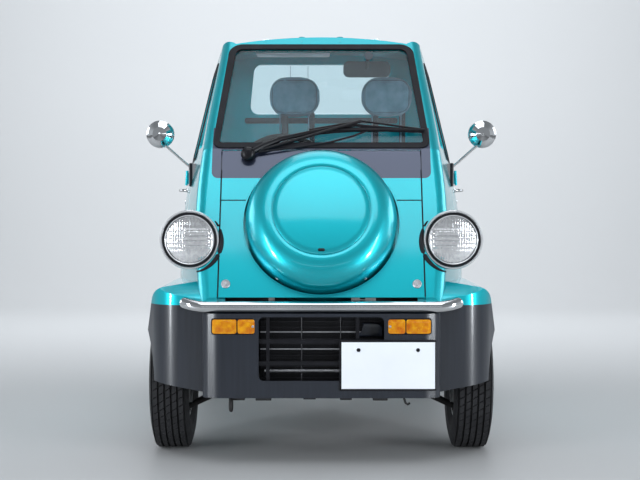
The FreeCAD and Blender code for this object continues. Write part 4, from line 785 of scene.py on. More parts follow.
# %% [markdown]
# ## Tyres
# A road tyre is a thick rubber ring with flat sides, a round shoulder and a nearly flat crown.
# Straight grooves run round the crown, and between them the rubber stands up as rows of slanted
# blocks. The ring is a section turned about the axle, with the grooves in the section. The
# blocks are one small form that a geometry tree sets round the crown, row by row.

# %% Turn the tyres and set their tread
TYRE_RADIUS = 0.2685
TREAD_BASE = 0.2625
RIM_SEAT = 0.1525
GROOVE_FOOT = 0.2585
ROW_PITCH = 0.0235
TREAD_ROWS = 5
BLOCKS_AROUND = 54
TOP_SHARE = 0.90
GROOVE_HALF = 0.0030
SHOULDER = 0.0605
BLOCK_HEIGHT = 0.0064
BLOCK_LENGTH = 0.0298
BLOCK_SINK = 0.0008
TYRE_STEPS = 96
SIDES = (("left", 1), ("right", -1))


def tyre_section():
    """Half the section's outer line from bead to crown, mirrored for the other half."""
    side = [
        (RIM_SEAT, 0.050), (0.158, 0.057), (0.166, 0.061), (0.184, 0.0685), (0.186, 0.0700),
        (0.190, 0.0700), (0.192, 0.0695), (0.208, 0.0722), (0.212, 0.0730), (0.222, 0.0730),
        (0.226, 0.0716), (0.240, 0.0690), (0.250, 0.0655), (0.257, SHOULDER),
    ]
    crown = []
    for row in range(TREAD_ROWS // 2, -1, -1):
        edge = (row + 0.5) * ROW_PITCH
        if edge < SHOULDER:
            crown += [(TREAD_BASE, edge + GROOVE_HALF), (GROOVE_FOOT, edge + GROOVE_HALF / 2),
                      (GROOVE_FOOT, edge - GROOVE_HALF / 2), (TREAD_BASE, edge - GROOVE_HALF)]
    half = side + crown
    return half + [(radius, -height) for radius, height in reversed(half)]


def tread_recipe():
    """A slanted block with narrowed top, its foot just inside the crown."""
    recipe = Recipe("TreadBlock", Width=0.018, Length=0.024, Height=0.006, Slant=0.35)
    tree = recipe.tree
    cube = recipe.add("GeometryNodeMeshCube",
                      {"Size": (1.0, 1.0, 1.0), "Vertices X": 2, "Vertices Y": 2, "Vertices Z": 3})
    place = recipe.add("GeometryNodeInputPosition")
    x, y, z = recipe.add("ShaderNodeSeparateXYZ", {0: place.outputs[0]}).outputs
    slid = sum_of(tree, "ADD", y, sum_of(tree, "MULTIPLY", x, recipe.size("Slant")))
    narrowed = {"Value": z, "From Min": 0.0, "From Max": 0.5, "To Min": 1.0, "To Max": TOP_SHARE}
    top = recipe.add("ShaderNodeMapRange", narrowed).outputs[0]
    width = sum_of(tree, "MULTIPLY", recipe.size("Width"), top)
    length = sum_of(tree, "MULTIPLY", recipe.size("Length"), top)
    shape = recipe.add("ShaderNodeCombineXYZ", {0: sum_of(tree, "MULTIPLY", x, width),
                                                1: sum_of(tree, "MULTIPLY", slid, length),
                                                2: sum_of(tree, "MULTIPLY", z, recipe.size("Height"))})
    form = recipe.add("GeometryNodeSetPosition", {"Geometry": cube.outputs[0], "Position": shape.outputs[0]})
    return recipe.stamped(form.outputs[0], finishes["tyre_rubber"])


tread = tread_recipe()
section = tyre_section()
for end in ("front", "rear"):
    for side_name, out in SIDES:
        low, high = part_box(f"tyre_{end}_{side_name}")
        hub = (low + high) / 2
        axle = placed(hub, (out, 0, 0), UP)
        tag = f"{end.title()}{side_name.title()}"
        body = f"wheel_{end}_{side_name}"
        tyre = Piece(f"Tyre{tag}").turned(section, axle, TYRE_STEPS, wrap=True)
        tyre.settle(body, "tyre_rubber", replaces=[f"tyre_{end}_{side_name}"])
        places = []
        for row in range(TREAD_ROWS):
            offset = (row - (TREAD_ROWS - 1) / 2) * ROW_PITCH
            for index in range(BLOCKS_AROUND):
                turn = 2 * math.pi * (index + 0.5 * (row % 2)) / BLOCKS_AROUND
                spoke = Vector((0, math.cos(turn), math.sin(turn)))
                middle = TYRE_RADIUS - BLOCK_HEIGHT / 2 - BLOCK_SINK
                places.append((hub + Vector((offset, 0, 0)) + spoke * middle, spoke, OUTWARD))
        stamp(tread, f"Tread{tag}", places, body, "tyre_rubber",
              Width=ROW_PITCH - 2 * GROOVE_HALF, Length=BLOCK_LENGTH, Height=BLOCK_HEIGHT)

# %% [markdown]
# ## Wheels
# The steel wheel is already a turned solid with its ring of vents. It lacks its four nuts, the
# stem of its valve, the pressed cap over the hub and the small weight clipped to the rim.

# %% Cap the hubs and add nuts and valves
HUB_FACE = 0.048
NUT_RING = 0.064
NUT_FACE = 0.0385
VALVE_RING = 0.1335
VALVE_FACE = 0.0185
NUTS = 4
NUT_RADIUS = 0.0088
WEIGHT_FACE = 0.0565
WEIGHT_RING = 0.1462
HUB_PROFILE = [(0, 0), (0.034, 0), (0.034, 0.003), (0.0315, 0.0055), (0.030, 0.0085), (0.024, 0.0088),
               (0.0225, 0.0078), (0.010, 0.0078), (0.009, 0.0088), (0, 0.0088)]
VALVE_PROFILE = [(0, 0), (0.0056, 0), (0.0052, 0.008), (0.0032, 0.012), (0.0030, 0.022),
                 (0.0040, 0.0222), (0.0040, 0.031), (0.0028, 0.033), (0, 0.033)]
for end in ("front", "rear"):
    for side_name, out in SIDES:
        low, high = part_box(f"wheel_{end}_{side_name}")
        hub = (low + high) / 2
        tag = f"{end.title()}{side_name.title()}"
        body = f"wheel_{end}_{side_name}"
        face = placed(hub + Vector((out * NUT_FACE, 0, 0)), (out, 0, 0), UP)
        ring = circle_points(face, NUT_RING, NUTS, math.pi / NUTS)
        places = [(spot, (out, 0, 0), (0, 1, 0)) for spot in ring]
        stamp(bolts, f"WheelNuts{tag}", places, body, "wheel_steel", bright_steel, Radius=NUT_RADIUS)
        cap = Piece(f"HubCap{tag}")
        seat = placed(hub + Vector((out * HUB_FACE, 0, 0)), (out, 0, 0), UP)
        cap.turned(HUB_PROFILE, seat)
        cap.settle(body, "wheel_steel", finishes["chrome"])
        valve = Piece(f"Valve{tag}")
        stem = placed(hub + Vector((out * VALVE_FACE, 0, VALVE_RING)), (out, 0, -0.25), (0, 1, 0))
        valve.turned(VALVE_PROFILE, stem, steps=16)
        valve.settle(body, "tyre_rubber", finishes["black_plastic"])
        weight = Piece(f"BalanceWeight{tag}")
        rim = placed(hub + Vector((out * WEIGHT_FACE, 0, 0)), (1, 0, 0), (0, 1, 0))
        turns = [math.radians(200 + 4 * i) for i in range(6)]
        line = [rim @ Vector((WEIGHT_RING * math.cos(a), WEIGHT_RING * math.sin(a), 0)) for a in turns]
        weight.swept(line, radius=0.0038, sides=8, flat=0.9, across=(1, 0, 0))
        weight.settle(body, "wheel_steel", bright_steel)
print("wheels dressed")

# %% [markdown]
# ## Headlamps
# A sealed-beam lamp is a silvered bowl behind a pressed glass lens. The lens is a shallow dome
# whose back is moulded into upright flutes and blocks that spread the beam. Round it lie a thin
# bright retaining ring, a dark rubber ring and the bright rim. The bowl is turned from a parabola.
# The lens is a grid over the disc, its height set by a formula, so every flute is real glass.

# %% Silver the bowls and press the lenses
LAMP_X = 0.480
LAMP_FACE = -1.235
LAMP_Z = 0.804
LENS_RADIUS = 0.0885
BOWL_DEPTH = 0.038
LENS_CROWN = 0.013
FLUTE = 0.0092
LENS_GRID = 84
LENS_THICK = 0.0032
LENS_SET_BACK = 0.0035
FLUTE_DEPTH = 0.0014
STEP_DEPTH = 0.0020
STEP_PITCH = 1.9
STEP_BAND = 0.030
STEP_FAINT = 0.25
EDGE_POWER = 8
BOWL_RADIUS = 0.086
BOWL_HOLE = 0.008
BOWL_STEPS = 12
BOWL_WALL = 0.0015
CLIP_ANGLES = (38, 142, 222, 318)
CLIP_RING = 0.0955
BULB_PROFILE = [(0, -0.043), (0.0095, -0.043), (0.0095, -0.038), (0.0055, -0.035), (0.0052, -0.026),
                (0.0035, -0.022), (0, -0.0215)]
RUBBER_PROFILE = [(0.0890, 0.0005), (0.0890, 0.0022), (0.0915, 0.0030), (0.0985, 0.0030),
                  (0.1000, 0.0018), (0.1000, 0.0005)]
RETAINER_PROFILE = [(0.0865, 0.0015), (0.0865, 0.0042), (0.0878, 0.0056), (0.0898, 0.0050),
                    (0.0905, 0.0034), (0.0905, 0.0015)]
RIM_PROFILE = [(0.1005, 0.0002), (0.1010, 0.0045), (0.1030, 0.0072), (0.1058, 0.0072),
               (0.1078, 0.0040), (0.1080, 0.0002)]


def lens_mesh(name, place):
    """A domed glass disc with upright flutes all over and level steps across its middle."""
    made = Piece(name)
    grid = {}
    edge, last = -LENS_GRID // 2, LENS_GRID // 2
    for i in range(edge, last + 1):
        for j in range(edge, last + 1):
            u, v = 2 * i / LENS_GRID, 2 * j / LENS_GRID
            x = u * math.sqrt(1 - v * v / 2) * LENS_RADIUS
            y = v * math.sqrt(1 - u * u / 2) * LENS_RADIUS
            reach = min(1.0, math.hypot(x, y) / LENS_RADIUS)
            dome = LENS_CROWN * (1 - reach * reach)
            ribs = FLUTE_DEPTH * abs(math.sin(math.pi * x / FLUTE))
            steps = STEP_DEPTH * abs(math.sin(math.pi * y / (STEP_PITCH * FLUTE)))
            band = 1.0 if abs(y) < STEP_BAND else STEP_FAINT
            relief = (ribs + band * steps) * (1 - reach ** EDGE_POWER)
            front = made.mesh.verts.new(place @ Vector((x, y, dome + relief)))
            back = made.mesh.verts.new(place @ Vector((x, y, dome - LENS_THICK)))
            grid[i, j] = front, back
    span = range(edge, last)
    square = ((0, 0), (1, 0), (1, 1), (0, 1))
    for i in span:
        for j in span:
            for layer in (0, 1):
                made.mesh.faces.new([grid[i + a, j + b][layer] for a, b in square])
    for k in span:
        rim_edges = (((k, edge), (k + 1, edge)), ((k, last), (k + 1, last)),
                     ((edge, k), (edge, k + 1)), ((last, k), (last, k + 1)))
        for first, second in rim_edges:
            made.mesh.faces.new([grid[first][0], grid[second][0], grid[second][1], grid[first][1]])
    return made


for side_name, side in (("Left", 1), ("Right", -1)):
    lamp = placed((side * LAMP_X, LAMP_FACE, LAMP_Z), AHEAD, OUTWARD)
    lens = lens_mesh(f"LampLens{side_name}", lamp @ Matrix.Translation((0, 0, -LENS_SET_BACK)))
    lens.settle("vehicle", "lamp_glass", replaces=["headlamp_lenses"], soft=math.radians(70))
    bowl = Piece(f"LampBowl{side_name}")
    inner = []
    for i in range(BOWL_STEPS + 1):
        radius = BOWL_RADIUS * (1 - i / BOWL_STEPS) + BOWL_HOLE * (i / BOWL_STEPS)
        inner.append((radius, -BOWL_DEPTH * (1 - (radius / BOWL_RADIUS) ** 2) + 0.004))
    outer = [(radius + BOWL_WALL, height - BOWL_WALL) for radius, height in reversed(inner)]
    bowl.turned(inner + outer, lamp @ Matrix.Translation((0, 0, -0.0085)), steps=48, wrap=True)
    bowl.settle("vehicle", "chrome", reflector_silver)
    bulb = Piece(f"LampBulb{side_name}")
    bulb.turned(BULB_PROFILE, lamp, steps=20)
    bulb.settle("vehicle", "chrome", bright_steel)
    rings = Piece(f"LampRubber{side_name}")
    rings.turned(RUBBER_PROFILE, lamp, steps=64, wrap=True)
    for angle in CLIP_ANGLES:
        turn = math.radians(angle)
        spot = lamp @ Vector((CLIP_RING * math.cos(turn), CLIP_RING * math.sin(turn), 0.0040))
        clip = placed(spot, AHEAD, (math.sin(turn), 0, -math.cos(turn)))
        rings.block((0.0085, 0.0055, 0.0035), clip, round_edge=0.0008)
    rings.settle("vehicle", "seal_rubber", finishes["black_plastic"])
    bright = Piece(f"LampRing{side_name}")
    bright.turned(RETAINER_PROFILE, lamp, steps=64, wrap=True)
    bright.turned(RIM_PROFILE, lamp, steps=64, wrap=True)
    bright.settle("vehicle", "chrome", polished)
print("lamps lit")

# %% [markdown]
# ## Amber lamps
# Each front turn lamp is an amber lens in a black tray, let into the bumper. A slot divides the
# lens into a longer outer and a shorter inner part, and a screw holds it at the inner end. The
# lens parts are plates cut to an outline with round edges, and their ribs a row of thin bars.

# %% Fit the amber lamps
def bar_recipe(name, material):
    """A plain bar with the three sizes as its inputs."""
    recipe = Recipe(name, Width=0.01, Length=0.01, Height=0.01)
    edge = recipe.add("ShaderNodeCombineXYZ",
                      {0: recipe.size("Width"), 1: recipe.size("Length"), 2: recipe.size("Height")})
    bar = recipe.add("GeometryNodeMeshCube", {"Size": edge.outputs[0]})
    return recipe.stamped(bar.outputs[0], material)


amber_bars = bar_recipe("AmberBar", finishes["amber_lens"])
AMBER_X = 0.3112
AMBER_Z = 0.501
AMBER_FACE = -1.3868
AMBER_WIDE = 0.150
AMBER_TALL = 0.050
AMBER_SPLIT = 0.015
SPLIT_GAP = 0.004
TRAY_EDGE = 0.008
RIBS = 22
RIB_PITCH = 0.006
RIB_LIFT = 0.0038


def amber_ribs(face, side):
    """The places of the ribs on one lens, with the slot and the screw's end left free."""
    spots = []
    for index in range(RIBS):
        x = -AMBER_WIDE / 2 + 0.012 + index * RIB_PITCH
        if abs(x + AMBER_SPLIT - SPLIT_GAP / 2) > RIB_PITCH:
            spots.append((face @ Vector((x, 0, RIB_LIFT)), AHEAD, (side, 0, 0)))
    return spots


for side_name, side in (("Left", 1), ("Right", -1)):
    face = placed((side * AMBER_X, AMBER_FACE, AMBER_Z), AHEAD, (side, 0, 0))
    tray = Piece(f"AmberTray{side_name}")
    outline = round_rect(AMBER_WIDE + TRAY_EDGE, AMBER_TALL + TRAY_EDGE, 0.010)
    tray.slab(outline, face @ Matrix.Translation((0, 0, -0.011)), depth=0.018)
    tray.settle("vehicle", "black_plastic", replaces=["indicator_lamps"])
    lens = Piece(f"AmberLens{side_name}")
    for start, end in ((-AMBER_WIDE / 2, -AMBER_SPLIT), (-AMBER_SPLIT + SPLIT_GAP, AMBER_WIDE / 2)):
        centre = face @ Matrix.Translation(((start + end) / 2, 0, -0.001))
        lens.slab(round_rect(end - start, AMBER_TALL, 0.007), centre, depth=0.010, round_edge=0.0022,
                  segments=3)
    lens.settle("vehicle", "amber_lens")
    stamp(amber_bars, f"AmberRibs{side_name}", amber_ribs(face, side), "vehicle", "amber_lens",
          Width=0.0016, Length=0.037, Height=0.0014)
    notch = face @ Vector((-AMBER_WIDE / 2 + 0.006, 0, 0.0036))
    stamp(screws, f"AmberScrew{side_name}", [(notch, AHEAD, OUTWARD)], "vehicle", "chrome",
          bright_steel, Radius=0.0050)
print("amber lamps fitted")

# %% [markdown]
# ## Radiator behind the grille
# Between the bumper's bars the radiator's core shows: flat tubes that lie across it, thin upright
# fins between them, two wire stays in front and a bright tube along its foot. A dark moulding
# over the horn hangs at the upper corner. Tubes and fins are long rows of one form, so a tree stamps them.

# %% Fin the radiator
core_low, core_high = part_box("radiator")
CORE_FACE = core_low.y
TUBE_PITCH = 0.0205
FIN_PITCH = 0.0062
FIN_THICK = 0.0009
TUBE_TALL = 0.0042
BRIGHT_TUBES = (0.4735, 0.4120)
STAY_X = (-0.071, 0.069)
FOOT_LINE = ((-0.205, 0.012, 0.334), (-0.02, 0.013, 0.3345), (0.205, 0.012, 0.334))
HORN_OUTLINE = [(0.072, 0.001), (0.160, 0.001), (0.160, 0.034), (0.150, 0.046), (0.132, 0.050),
                (0.088, 0.050), (0.088, 0.018), (0.072, 0.012)]
core_bars = bar_recipe("CoreBar", bright_steel)
dark_bars = bar_recipe("DarkBar", finishes["radiator_metal"])
core_half = core_high.x - 0.014
rows = int((core_high.z - core_low.z - 0.03) / TUBE_PITCH)
heights = [core_high.z - 0.026 - i * TUBE_PITCH for i in range(rows)]
tube_places = [(Vector((0, CORE_FACE - 0.0022, z)), AHEAD, OUTWARD) for z in heights]
stamp(dark_bars, "RadiatorTubes", tube_places, "vehicle", "radiator_metal",
      Width=2 * core_half, Length=0.0036, Height=TUBE_TALL)
bright_places = [(Vector((0.0, CORE_FACE - 0.0030, z)), AHEAD, OUTWARD) for z in BRIGHT_TUBES]
stamp(core_bars, "RadiatorBrightTubes", bright_places, "vehicle", "radiator_metal", bright_steel,
      Width=2 * core_half, Length=0.0044, Height=TUBE_TALL)
fin_places = []
for z in heights:
    for index in range(int(2 * core_half / FIN_PITCH)):
        x = -core_half + (index + 0.5) * FIN_PITCH
        fin_places.append((Vector((x, CORE_FACE - 0.0015, z - TUBE_PITCH / 2)), AHEAD, OUTWARD))
stamp(dark_bars, "RadiatorFins", fin_places, "vehicle", "radiator_metal",
      Width=FIN_THICK, Length=TUBE_PITCH - 0.0050, Height=0.0026)
stays = Piece("RadiatorStays")
for x in STAY_X:
    ends = [(x, CORE_FACE - 0.009, core_low.z + 0.03), (x, CORE_FACE - 0.009, core_high.z - 0.012)]
    stays.swept(ends, radius=0.0022, sides=8)
stays.settle("vehicle", "radiator_metal")
foot_tube = Piece("RadiatorFoot")
foot_tube.swept([(x, CORE_FACE - gap, z) for x, gap, z in FOOT_LINE], radius=0.0072, sides=14)
foot_tube.settle("vehicle", "radiator_metal", bright_steel)
horn = Piece("Horn")
horn.slab(HORN_OUTLINE, placed((0.060, CORE_FACE - 0.014, 0.458), AHEAD, OUTWARD), depth=0.030,
          round_edge=0.004, segments=3)
horn.settle("vehicle", "black_plastic", finishes["grey_plastic"])
print("core tubes:", len(heights), "fins:", len(fin_places))

# %% [markdown]
# ## Number plates
# The plates stay blank. What shows on a real one is its rolled edge, a shallow pressed border and
# two fixing bolts, with a dark carrier behind. The carrier is a thin frame just behind the plate.

# %% Bolt on the plates
PLATE_X = 0.236
PLATE_Z = 0.3635
REAR_PLATE_Z = 0.4545
BOLT_X = (-0.105, 0.105)
BOLT_Z = 0.055
BOLT_SINK = 0.0052
BOLT_RADIUS = 0.0075
RIM_BACK = -0.0024
RIM_FRONT = -0.0002
plate_low, plate_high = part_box("number_plates")
for name, spot, facing, across in (
        ("Front", (PLATE_X, plate_low.y, PLATE_Z), AHEAD, OUTWARD),
        ("Rear", (0.0, plate_high.y, REAR_PLATE_Z), -AHEAD, -OUTWARD)):
    face = placed(spot, facing, across)
    rim = Piece(f"PlateRim{name}")
    inner = round_rect(0.322, 0.157, 0.008)
    outer = round_rect(0.3296, 0.1646, 0.010)
    rings = []
    for outline, lift in ((outer, RIM_BACK), (outer, RIM_FRONT), (inner, RIM_FRONT), (inner, RIM_BACK)):
        rings.append([face @ Vector((x, y, lift)) for x, y in outline])
    rim.skin(rings, wrap=True)
    rim.settle("vehicle", "plate_white", bright_steel)
    places = [(face @ Vector((x, BOLT_Z, -BOLT_SINK)), facing, across) for x in BOLT_X]
    stamp(dark_bolts, f"PlateBolts{name}", places, "vehicle", "black_plastic",
          finishes["black_plastic"], Radius=BOLT_RADIUS)
carrier = Piece("PlateCarrier")
for x, z, wide, tall in ((PLATE_X, 0.4495, 0.340, 0.009), (PLATE_X - 0.169, PLATE_Z, 0.007, 0.176),
                         (PLATE_X + 0.1675, PLATE_Z, 0.004, 0.176), (PLATE_X, 0.2775, 0.340, 0.007)):
    carrier.block((wide, tall, 0.005), placed((x, plate_low.y + 0.0040, z), AHEAD, OUTWARD),
                  round_edge=0.001)
carrier.settle("vehicle", "black_plastic")
print("plates done")

# %% [markdown]
# ## Spare-wheel cover
# The cover is one pressed shell round the spare wheel. Its middle is a separate shallow dome let
# into the front, so a fine groove runs round it, and a small lock sits at its lower edge.
# Shell and groove are one section turned about the cover's own axis, which leans back with the
# nose, so the light rolls over the groove as it does on pressed steel.

# %% Turn the cover and fit its catch
NOSE_TIP_Y = -1.329
NOSE_FOOT_Z = 0.600
NOSE_TOP_Y = -1.070
NOSE_TOP_Z = 1.142
NOSE_LEAN = math.atan2(NOSE_TOP_Y - NOSE_TIP_Y, NOSE_TOP_Z - NOSE_FOOT_Z)
SPARE_OUT = Vector((0, -math.cos(NOSE_LEAN), math.sin(NOSE_LEAN)))
SPARE_Z = 0.868
COVER_RADIUS = 0.276
COVER_FACE = 0.105
COVER_BACK = -0.060
COVER_ROUND = 0.086
COVER_SKIN = 0.0035
GROOVE_RING = 0.1765
DOME_RISE = 0.0062
DOME_STEPS = 8
ROUND_STEPS = 12
CATCH_DROP = 0.158
QUARTER = math.radians(90)


def nose_spot(x, z):
    """The point of the sloping nose plane at that place."""
    return Vector((x, NOSE_TIP_Y + (z - NOSE_FOOT_Z) * math.tan(NOSE_LEAN), z))


def cover_section():
    """The cover's outer line from its back edge to the axis, and its inner line back again."""
    line = [(COVER_RADIUS, COVER_BACK)]
    for step in range(ROUND_STEPS + 1):
        turn = QUARTER * step / ROUND_STEPS
        line.append((COVER_RADIUS - COVER_ROUND + COVER_ROUND * math.cos(turn),
                     COVER_FACE - COVER_ROUND + COVER_ROUND * math.sin(turn)))
    line += [(GROOVE_RING + 0.0022, COVER_FACE + 0.0002), (GROOVE_RING + 0.0010, COVER_FACE - 0.0006),
             (GROOVE_RING + 0.0008, COVER_FACE - 0.0030), (GROOVE_RING - 0.0008, COVER_FACE - 0.0030),
             (GROOVE_RING - 0.0010, COVER_FACE - 0.0004), (GROOVE_RING - 0.0024, COVER_FACE + 0.0008)]
    for step in range(1, DOME_STEPS + 1):
        radius = (GROOVE_RING - 0.0024) * (1 - step / DOME_STEPS)
        line.append((radius, COVER_FACE + 0.0008 + DOME_RISE * (1 - (radius / GROOVE_RING) ** 2)))
    inner = [(0.0, COVER_FACE - COVER_SKIN - 0.002)]
    for step in range(ROUND_STEPS, -1, -1):
        turn = QUARTER * step / ROUND_STEPS
        bend = COVER_ROUND - COVER_SKIN
        dip = 0.002 if step == ROUND_STEPS else 0
        inner.append((COVER_RADIUS - COVER_ROUND + bend * math.cos(turn),
                      COVER_FACE - COVER_ROUND + bend * math.sin(turn) - dip))
    return line + inner + [(COVER_RADIUS - COVER_SKIN, COVER_BACK)]


cover_place = placed(nose_spot(0, SPARE_Z), SPARE_OUT, OUTWARD)
cover = Piece("SpareCoverShell")
section_line = cover_section()
cover.turned(section_line, cover_place, steps=128, wrap=True)
cover.settle("vehicle", "cover_paint", replaces=["spare_cover"], soft=math.radians(50))
catch = Piece("CoverCatch")
catch_place = cover_place @ Matrix.Translation((0.0, -CATCH_DROP, COVER_FACE + 0.0020))
catch.slab(round_rect(0.024, 0.011, 0.0035), catch_place, depth=0.0030, round_edge=0.0008)
lock_profile = [(0, 0), (0.0042, 0), (0.0042, 0.0030), (0.0034, 0.0038), (0, 0.0038)]
catch.turned(lock_profile, catch_place, steps=16)
catch.settle("vehicle", "cover_paint", finishes["black_plastic"])
band = Piece("CoverBeading")
band.turned([(COVER_RADIUS - 0.0012, COVER_BACK - 0.0012), (COVER_RADIUS, COVER_BACK + 0.0012),
             (COVER_RADIUS - 0.0012, COVER_BACK + 0.0036), (COVER_RADIUS - 0.0048, COVER_BACK + 0.0036),
             (COVER_RADIUS - 0.0048, COVER_BACK - 0.0012)], cover_place, steps=96, wrap=True)
band.settle("vehicle", "seal_rubber")
print("cover turned:", len(section_line), "points in its section")

# %% [markdown]
# ## Small things on the nose
# Two quarter-turn fasteners hold the nose panel at its foot: a ring with a slotted disc inside. Two
# thin stays steady the spare wheel's cover from below. In the gap over the chrome bar sit a lock
# plate and a catch, and under the bumper hang its brackets and a tie-down hook. They are turned and
# swept forms, each set on the sloping plane of the nose or on the metal that carries it.

# %% Fit fasteners, stays and brackets
FASTENER_X = 0.3435
FASTENER_Z = 0.647
FASTENER_PROFILE = [(0, -0.001), (0.0165, -0.001), (0.0165, 0.0022), (0.0150, 0.0034),
                    (0.0122, 0.0034), (0.0112, 0.0016), (0.0085, 0.0016), (0.0080, 0.0030), (0, 0.0030)]
SLOT_TURN = 0.9
fasteners = Piece("NoseFasteners")
for side in (-1, 1):
    seat = placed(nose_spot(side * FASTENER_X, FASTENER_Z), SPARE_OUT, OUTWARD)
    fasteners.turned(FASTENER_PROFILE, seat, steps=32)
    slot = seat @ Matrix.Translation((0, 0, 0.0034)) @ Matrix.Rotation(side * SLOT_TURN, 4, "Z")
    fasteners.block((0.013, 0.0026, 0.0022), slot, round_edge=0.0004)
fasteners.settle("vehicle", "body_paint", bright_steel)

stays = Piece("CoverStays")
for side in (-1, 1):
    foot = nose_spot(side * 0.157, 0.668)
    head = cover_place @ Vector((side * 0.135, -0.2400, COVER_BACK + 0.028))
    stays.swept([foot, foot.lerp(head, 0.5) + Vector((0, -0.004, 0)), head], radius=0.0026, sides=8)
    stays.turned([(0, -0.001), (0.0075, -0.001), (0.0075, 0.0018), (0.004, 0.0028), (0, 0.0028)],
                 placed(foot, SPARE_OUT, OUTWARD), steps=14)
stays.settle("vehicle", "cover_paint", bright_steel)

# Each catch has its place across, its height, its width and how tall it is.
SLOT_Y = -1.3235
CATCHES = ((-0.178, 0.590, 0.022, 0.018), (0.122, 0.592, 0.030, 0.014), (0.176, 0.588, 0.038, 0.020))
brackets = Piece("NoseCatches")
for x, z, wide, tall in CATCHES:
    brackets.block((wide, tall, 0.010), placed((x, SLOT_Y, z), AHEAD, OUTWARD), round_edge=0.0012)
    brackets.turned([(0, 0), (0.0055, 0), (0.0055, 0.003), (0.004, 0.004), (0, 0.004)],
                    placed((x, SLOT_Y - 0.005, z), AHEAD, OUTWARD), steps=6)
brackets.swept([(0.106, SLOT_Y, 0.596), (0.150, SLOT_Y - 0.002, 0.590), (0.192, SLOT_Y, 0.594)],
               radius=0.0030, sides=8)
brackets.settle("vehicle", "cast_metal")

# Each bracket runs between two places across and hangs down by the third number.
FOOT_Z = 0.249
HANGERS = ((-0.236, -0.179, 0.018), (-0.065, -0.020, 0.014), (-0.020, 0.066, 0.010),
           (0.066, 0.109, 0.016), (0.184, 0.237, 0.018))
HOOK_LINE = [(0.297, -1.320, 0.262), (0.297, -1.322, 0.236), (0.301, -1.326, 0.222),
             (0.309, -1.326, 0.216), (0.317, -1.324, 0.221)]
hangers = Piece("BumperBrackets")
for low_x, high_x, drop in HANGERS:
    middle = placed(((low_x + high_x) / 2, -1.318, FOOT_Z - drop / 2 + 0.004), AHEAD, OUTWARD)
    hangers.block((high_x - low_x, drop + 0.008, 0.034), middle, round_edge=0.002)
hangers.swept(HOOK_LINE, radius=0.0042, sides=8)
hangers.settle("vehicle", "underbody")
print("nose fastened")

# %% [markdown]
# A dark rubber collar closes the joint between each headlamp's pod and the nose. A ray from ahead
# finds the metal behind each point of an arc, and a bar that is thin at both ends is swept along
# it. Dark lines mark where the nose panel meets its neighbours.

# %% Close the joints of the nose
COLLAR_STEPS = 24
COLLAR_X = 0.4750
COLLAR_Z = 0.7985
COLLAR_RING = 0.1125
COLLAR_START = -78
COLLAR_SWEEP = 118
SEAM_X = 0.3708
SEAM_TOP = 0.9480
SEAM_LIFT = 0.0002
SEAM_HEIGHTS = (0.603, 0.70, 0.80, 0.90, 1.00, 1.06)

for side_name, side in (("Left", 1), ("Right", -1)):
    collar = Piece(f"LampCollar{side_name}")
    path = []
    for step in range(COLLAR_STEPS + 1):
        turn = math.radians(COLLAR_START + COLLAR_SWEEP * step / COLLAR_STEPS)
        x = side * (COLLAR_X - COLLAR_RING * math.cos(turn))
        z = COLLAR_Z + COLLAR_RING * math.sin(turn)
        hits = [frame["nodes"][node].ray_cast(Vector((x, -3, z)), Vector((0, 1, 0)))
                for node in ("cab_shell", "nose_panel")]
        spots = [spot for hit, spot, _, _ in hits if hit]
        if spots:
            path.append(min(spots, key=lambda spot: spot.y))
    widths = [0.0026 + 0.0062 * math.sin(math.pi * i / (len(path) - 1)) for i in range(len(path))]
    collar.swept(path, widths, sides=10)
    collar.settle("vehicle", "seal_rubber")
seam = Piece("NoseSeams")
for side in (-1, 1):
    upright = [nose_spot(side * SEAM_X, z) + SPARE_OUT * SEAM_LIFT for z in SEAM_HEIGHTS]
    seam.swept(upright, radius=0.0021, sides=8)
    level = [nose_spot(side * x, SEAM_TOP) + SPARE_OUT * SEAM_LIFT for x in (SEAM_X, 0.33, 0.28)]
    seam.swept(level, radius=0.0018, sides=8)
seam.settle("vehicle", "seal_rubber")
print("nose dressed")

# %% [markdown]
# ## Doors and sides
# A pull handle is a chrome loop on two feet, screwed to the door's skin. Where the skin lies is
# asked of the solid itself, by a ray from outside, so the feet sit exactly on it. The same ray
# lays a rubber seal round each door window and the round lock under the handle. What is on a
# door rides with that door.

# %% Put handles, seals and locks on the doors
HANDLE_Z = 0.995
HANDLE_ENDS = (-0.145, -0.055)
HANDLE_REACH = 0.030
HANDLE_RADII = [0.0075, 0.0070, 0.0066, 0.0072, 0.0066, 0.0070, 0.0075]
FOOT_PROFILE = [(0, -0.002), (0.0125, -0.002), (0.0125, 0.0025), (0.010, 0.0045), (0, 0.0045)]
LOCK_PROFILE = [(0, -0.002), (0.012, -0.002), (0.012, 0.003), (0.0105, 0.0045), (0.004, 0.0045),
                (0.0035, 0.0030), (0, 0.0030)]
SEAL_GROW = 0.018
SEAL_ROUND = 0.045
SEAL_RADIUS = 0.0052
SKIN_X = 0.36


def skin_at(node, side, y, z):
    """The outermost point of a node at that height and length, or None."""
    hit, spot, _, _ = frame["nodes"][node].ray_cast(Vector((side * 1.2, y, z)), Vector((-side, 0, 0)))
    return spot if hit else None


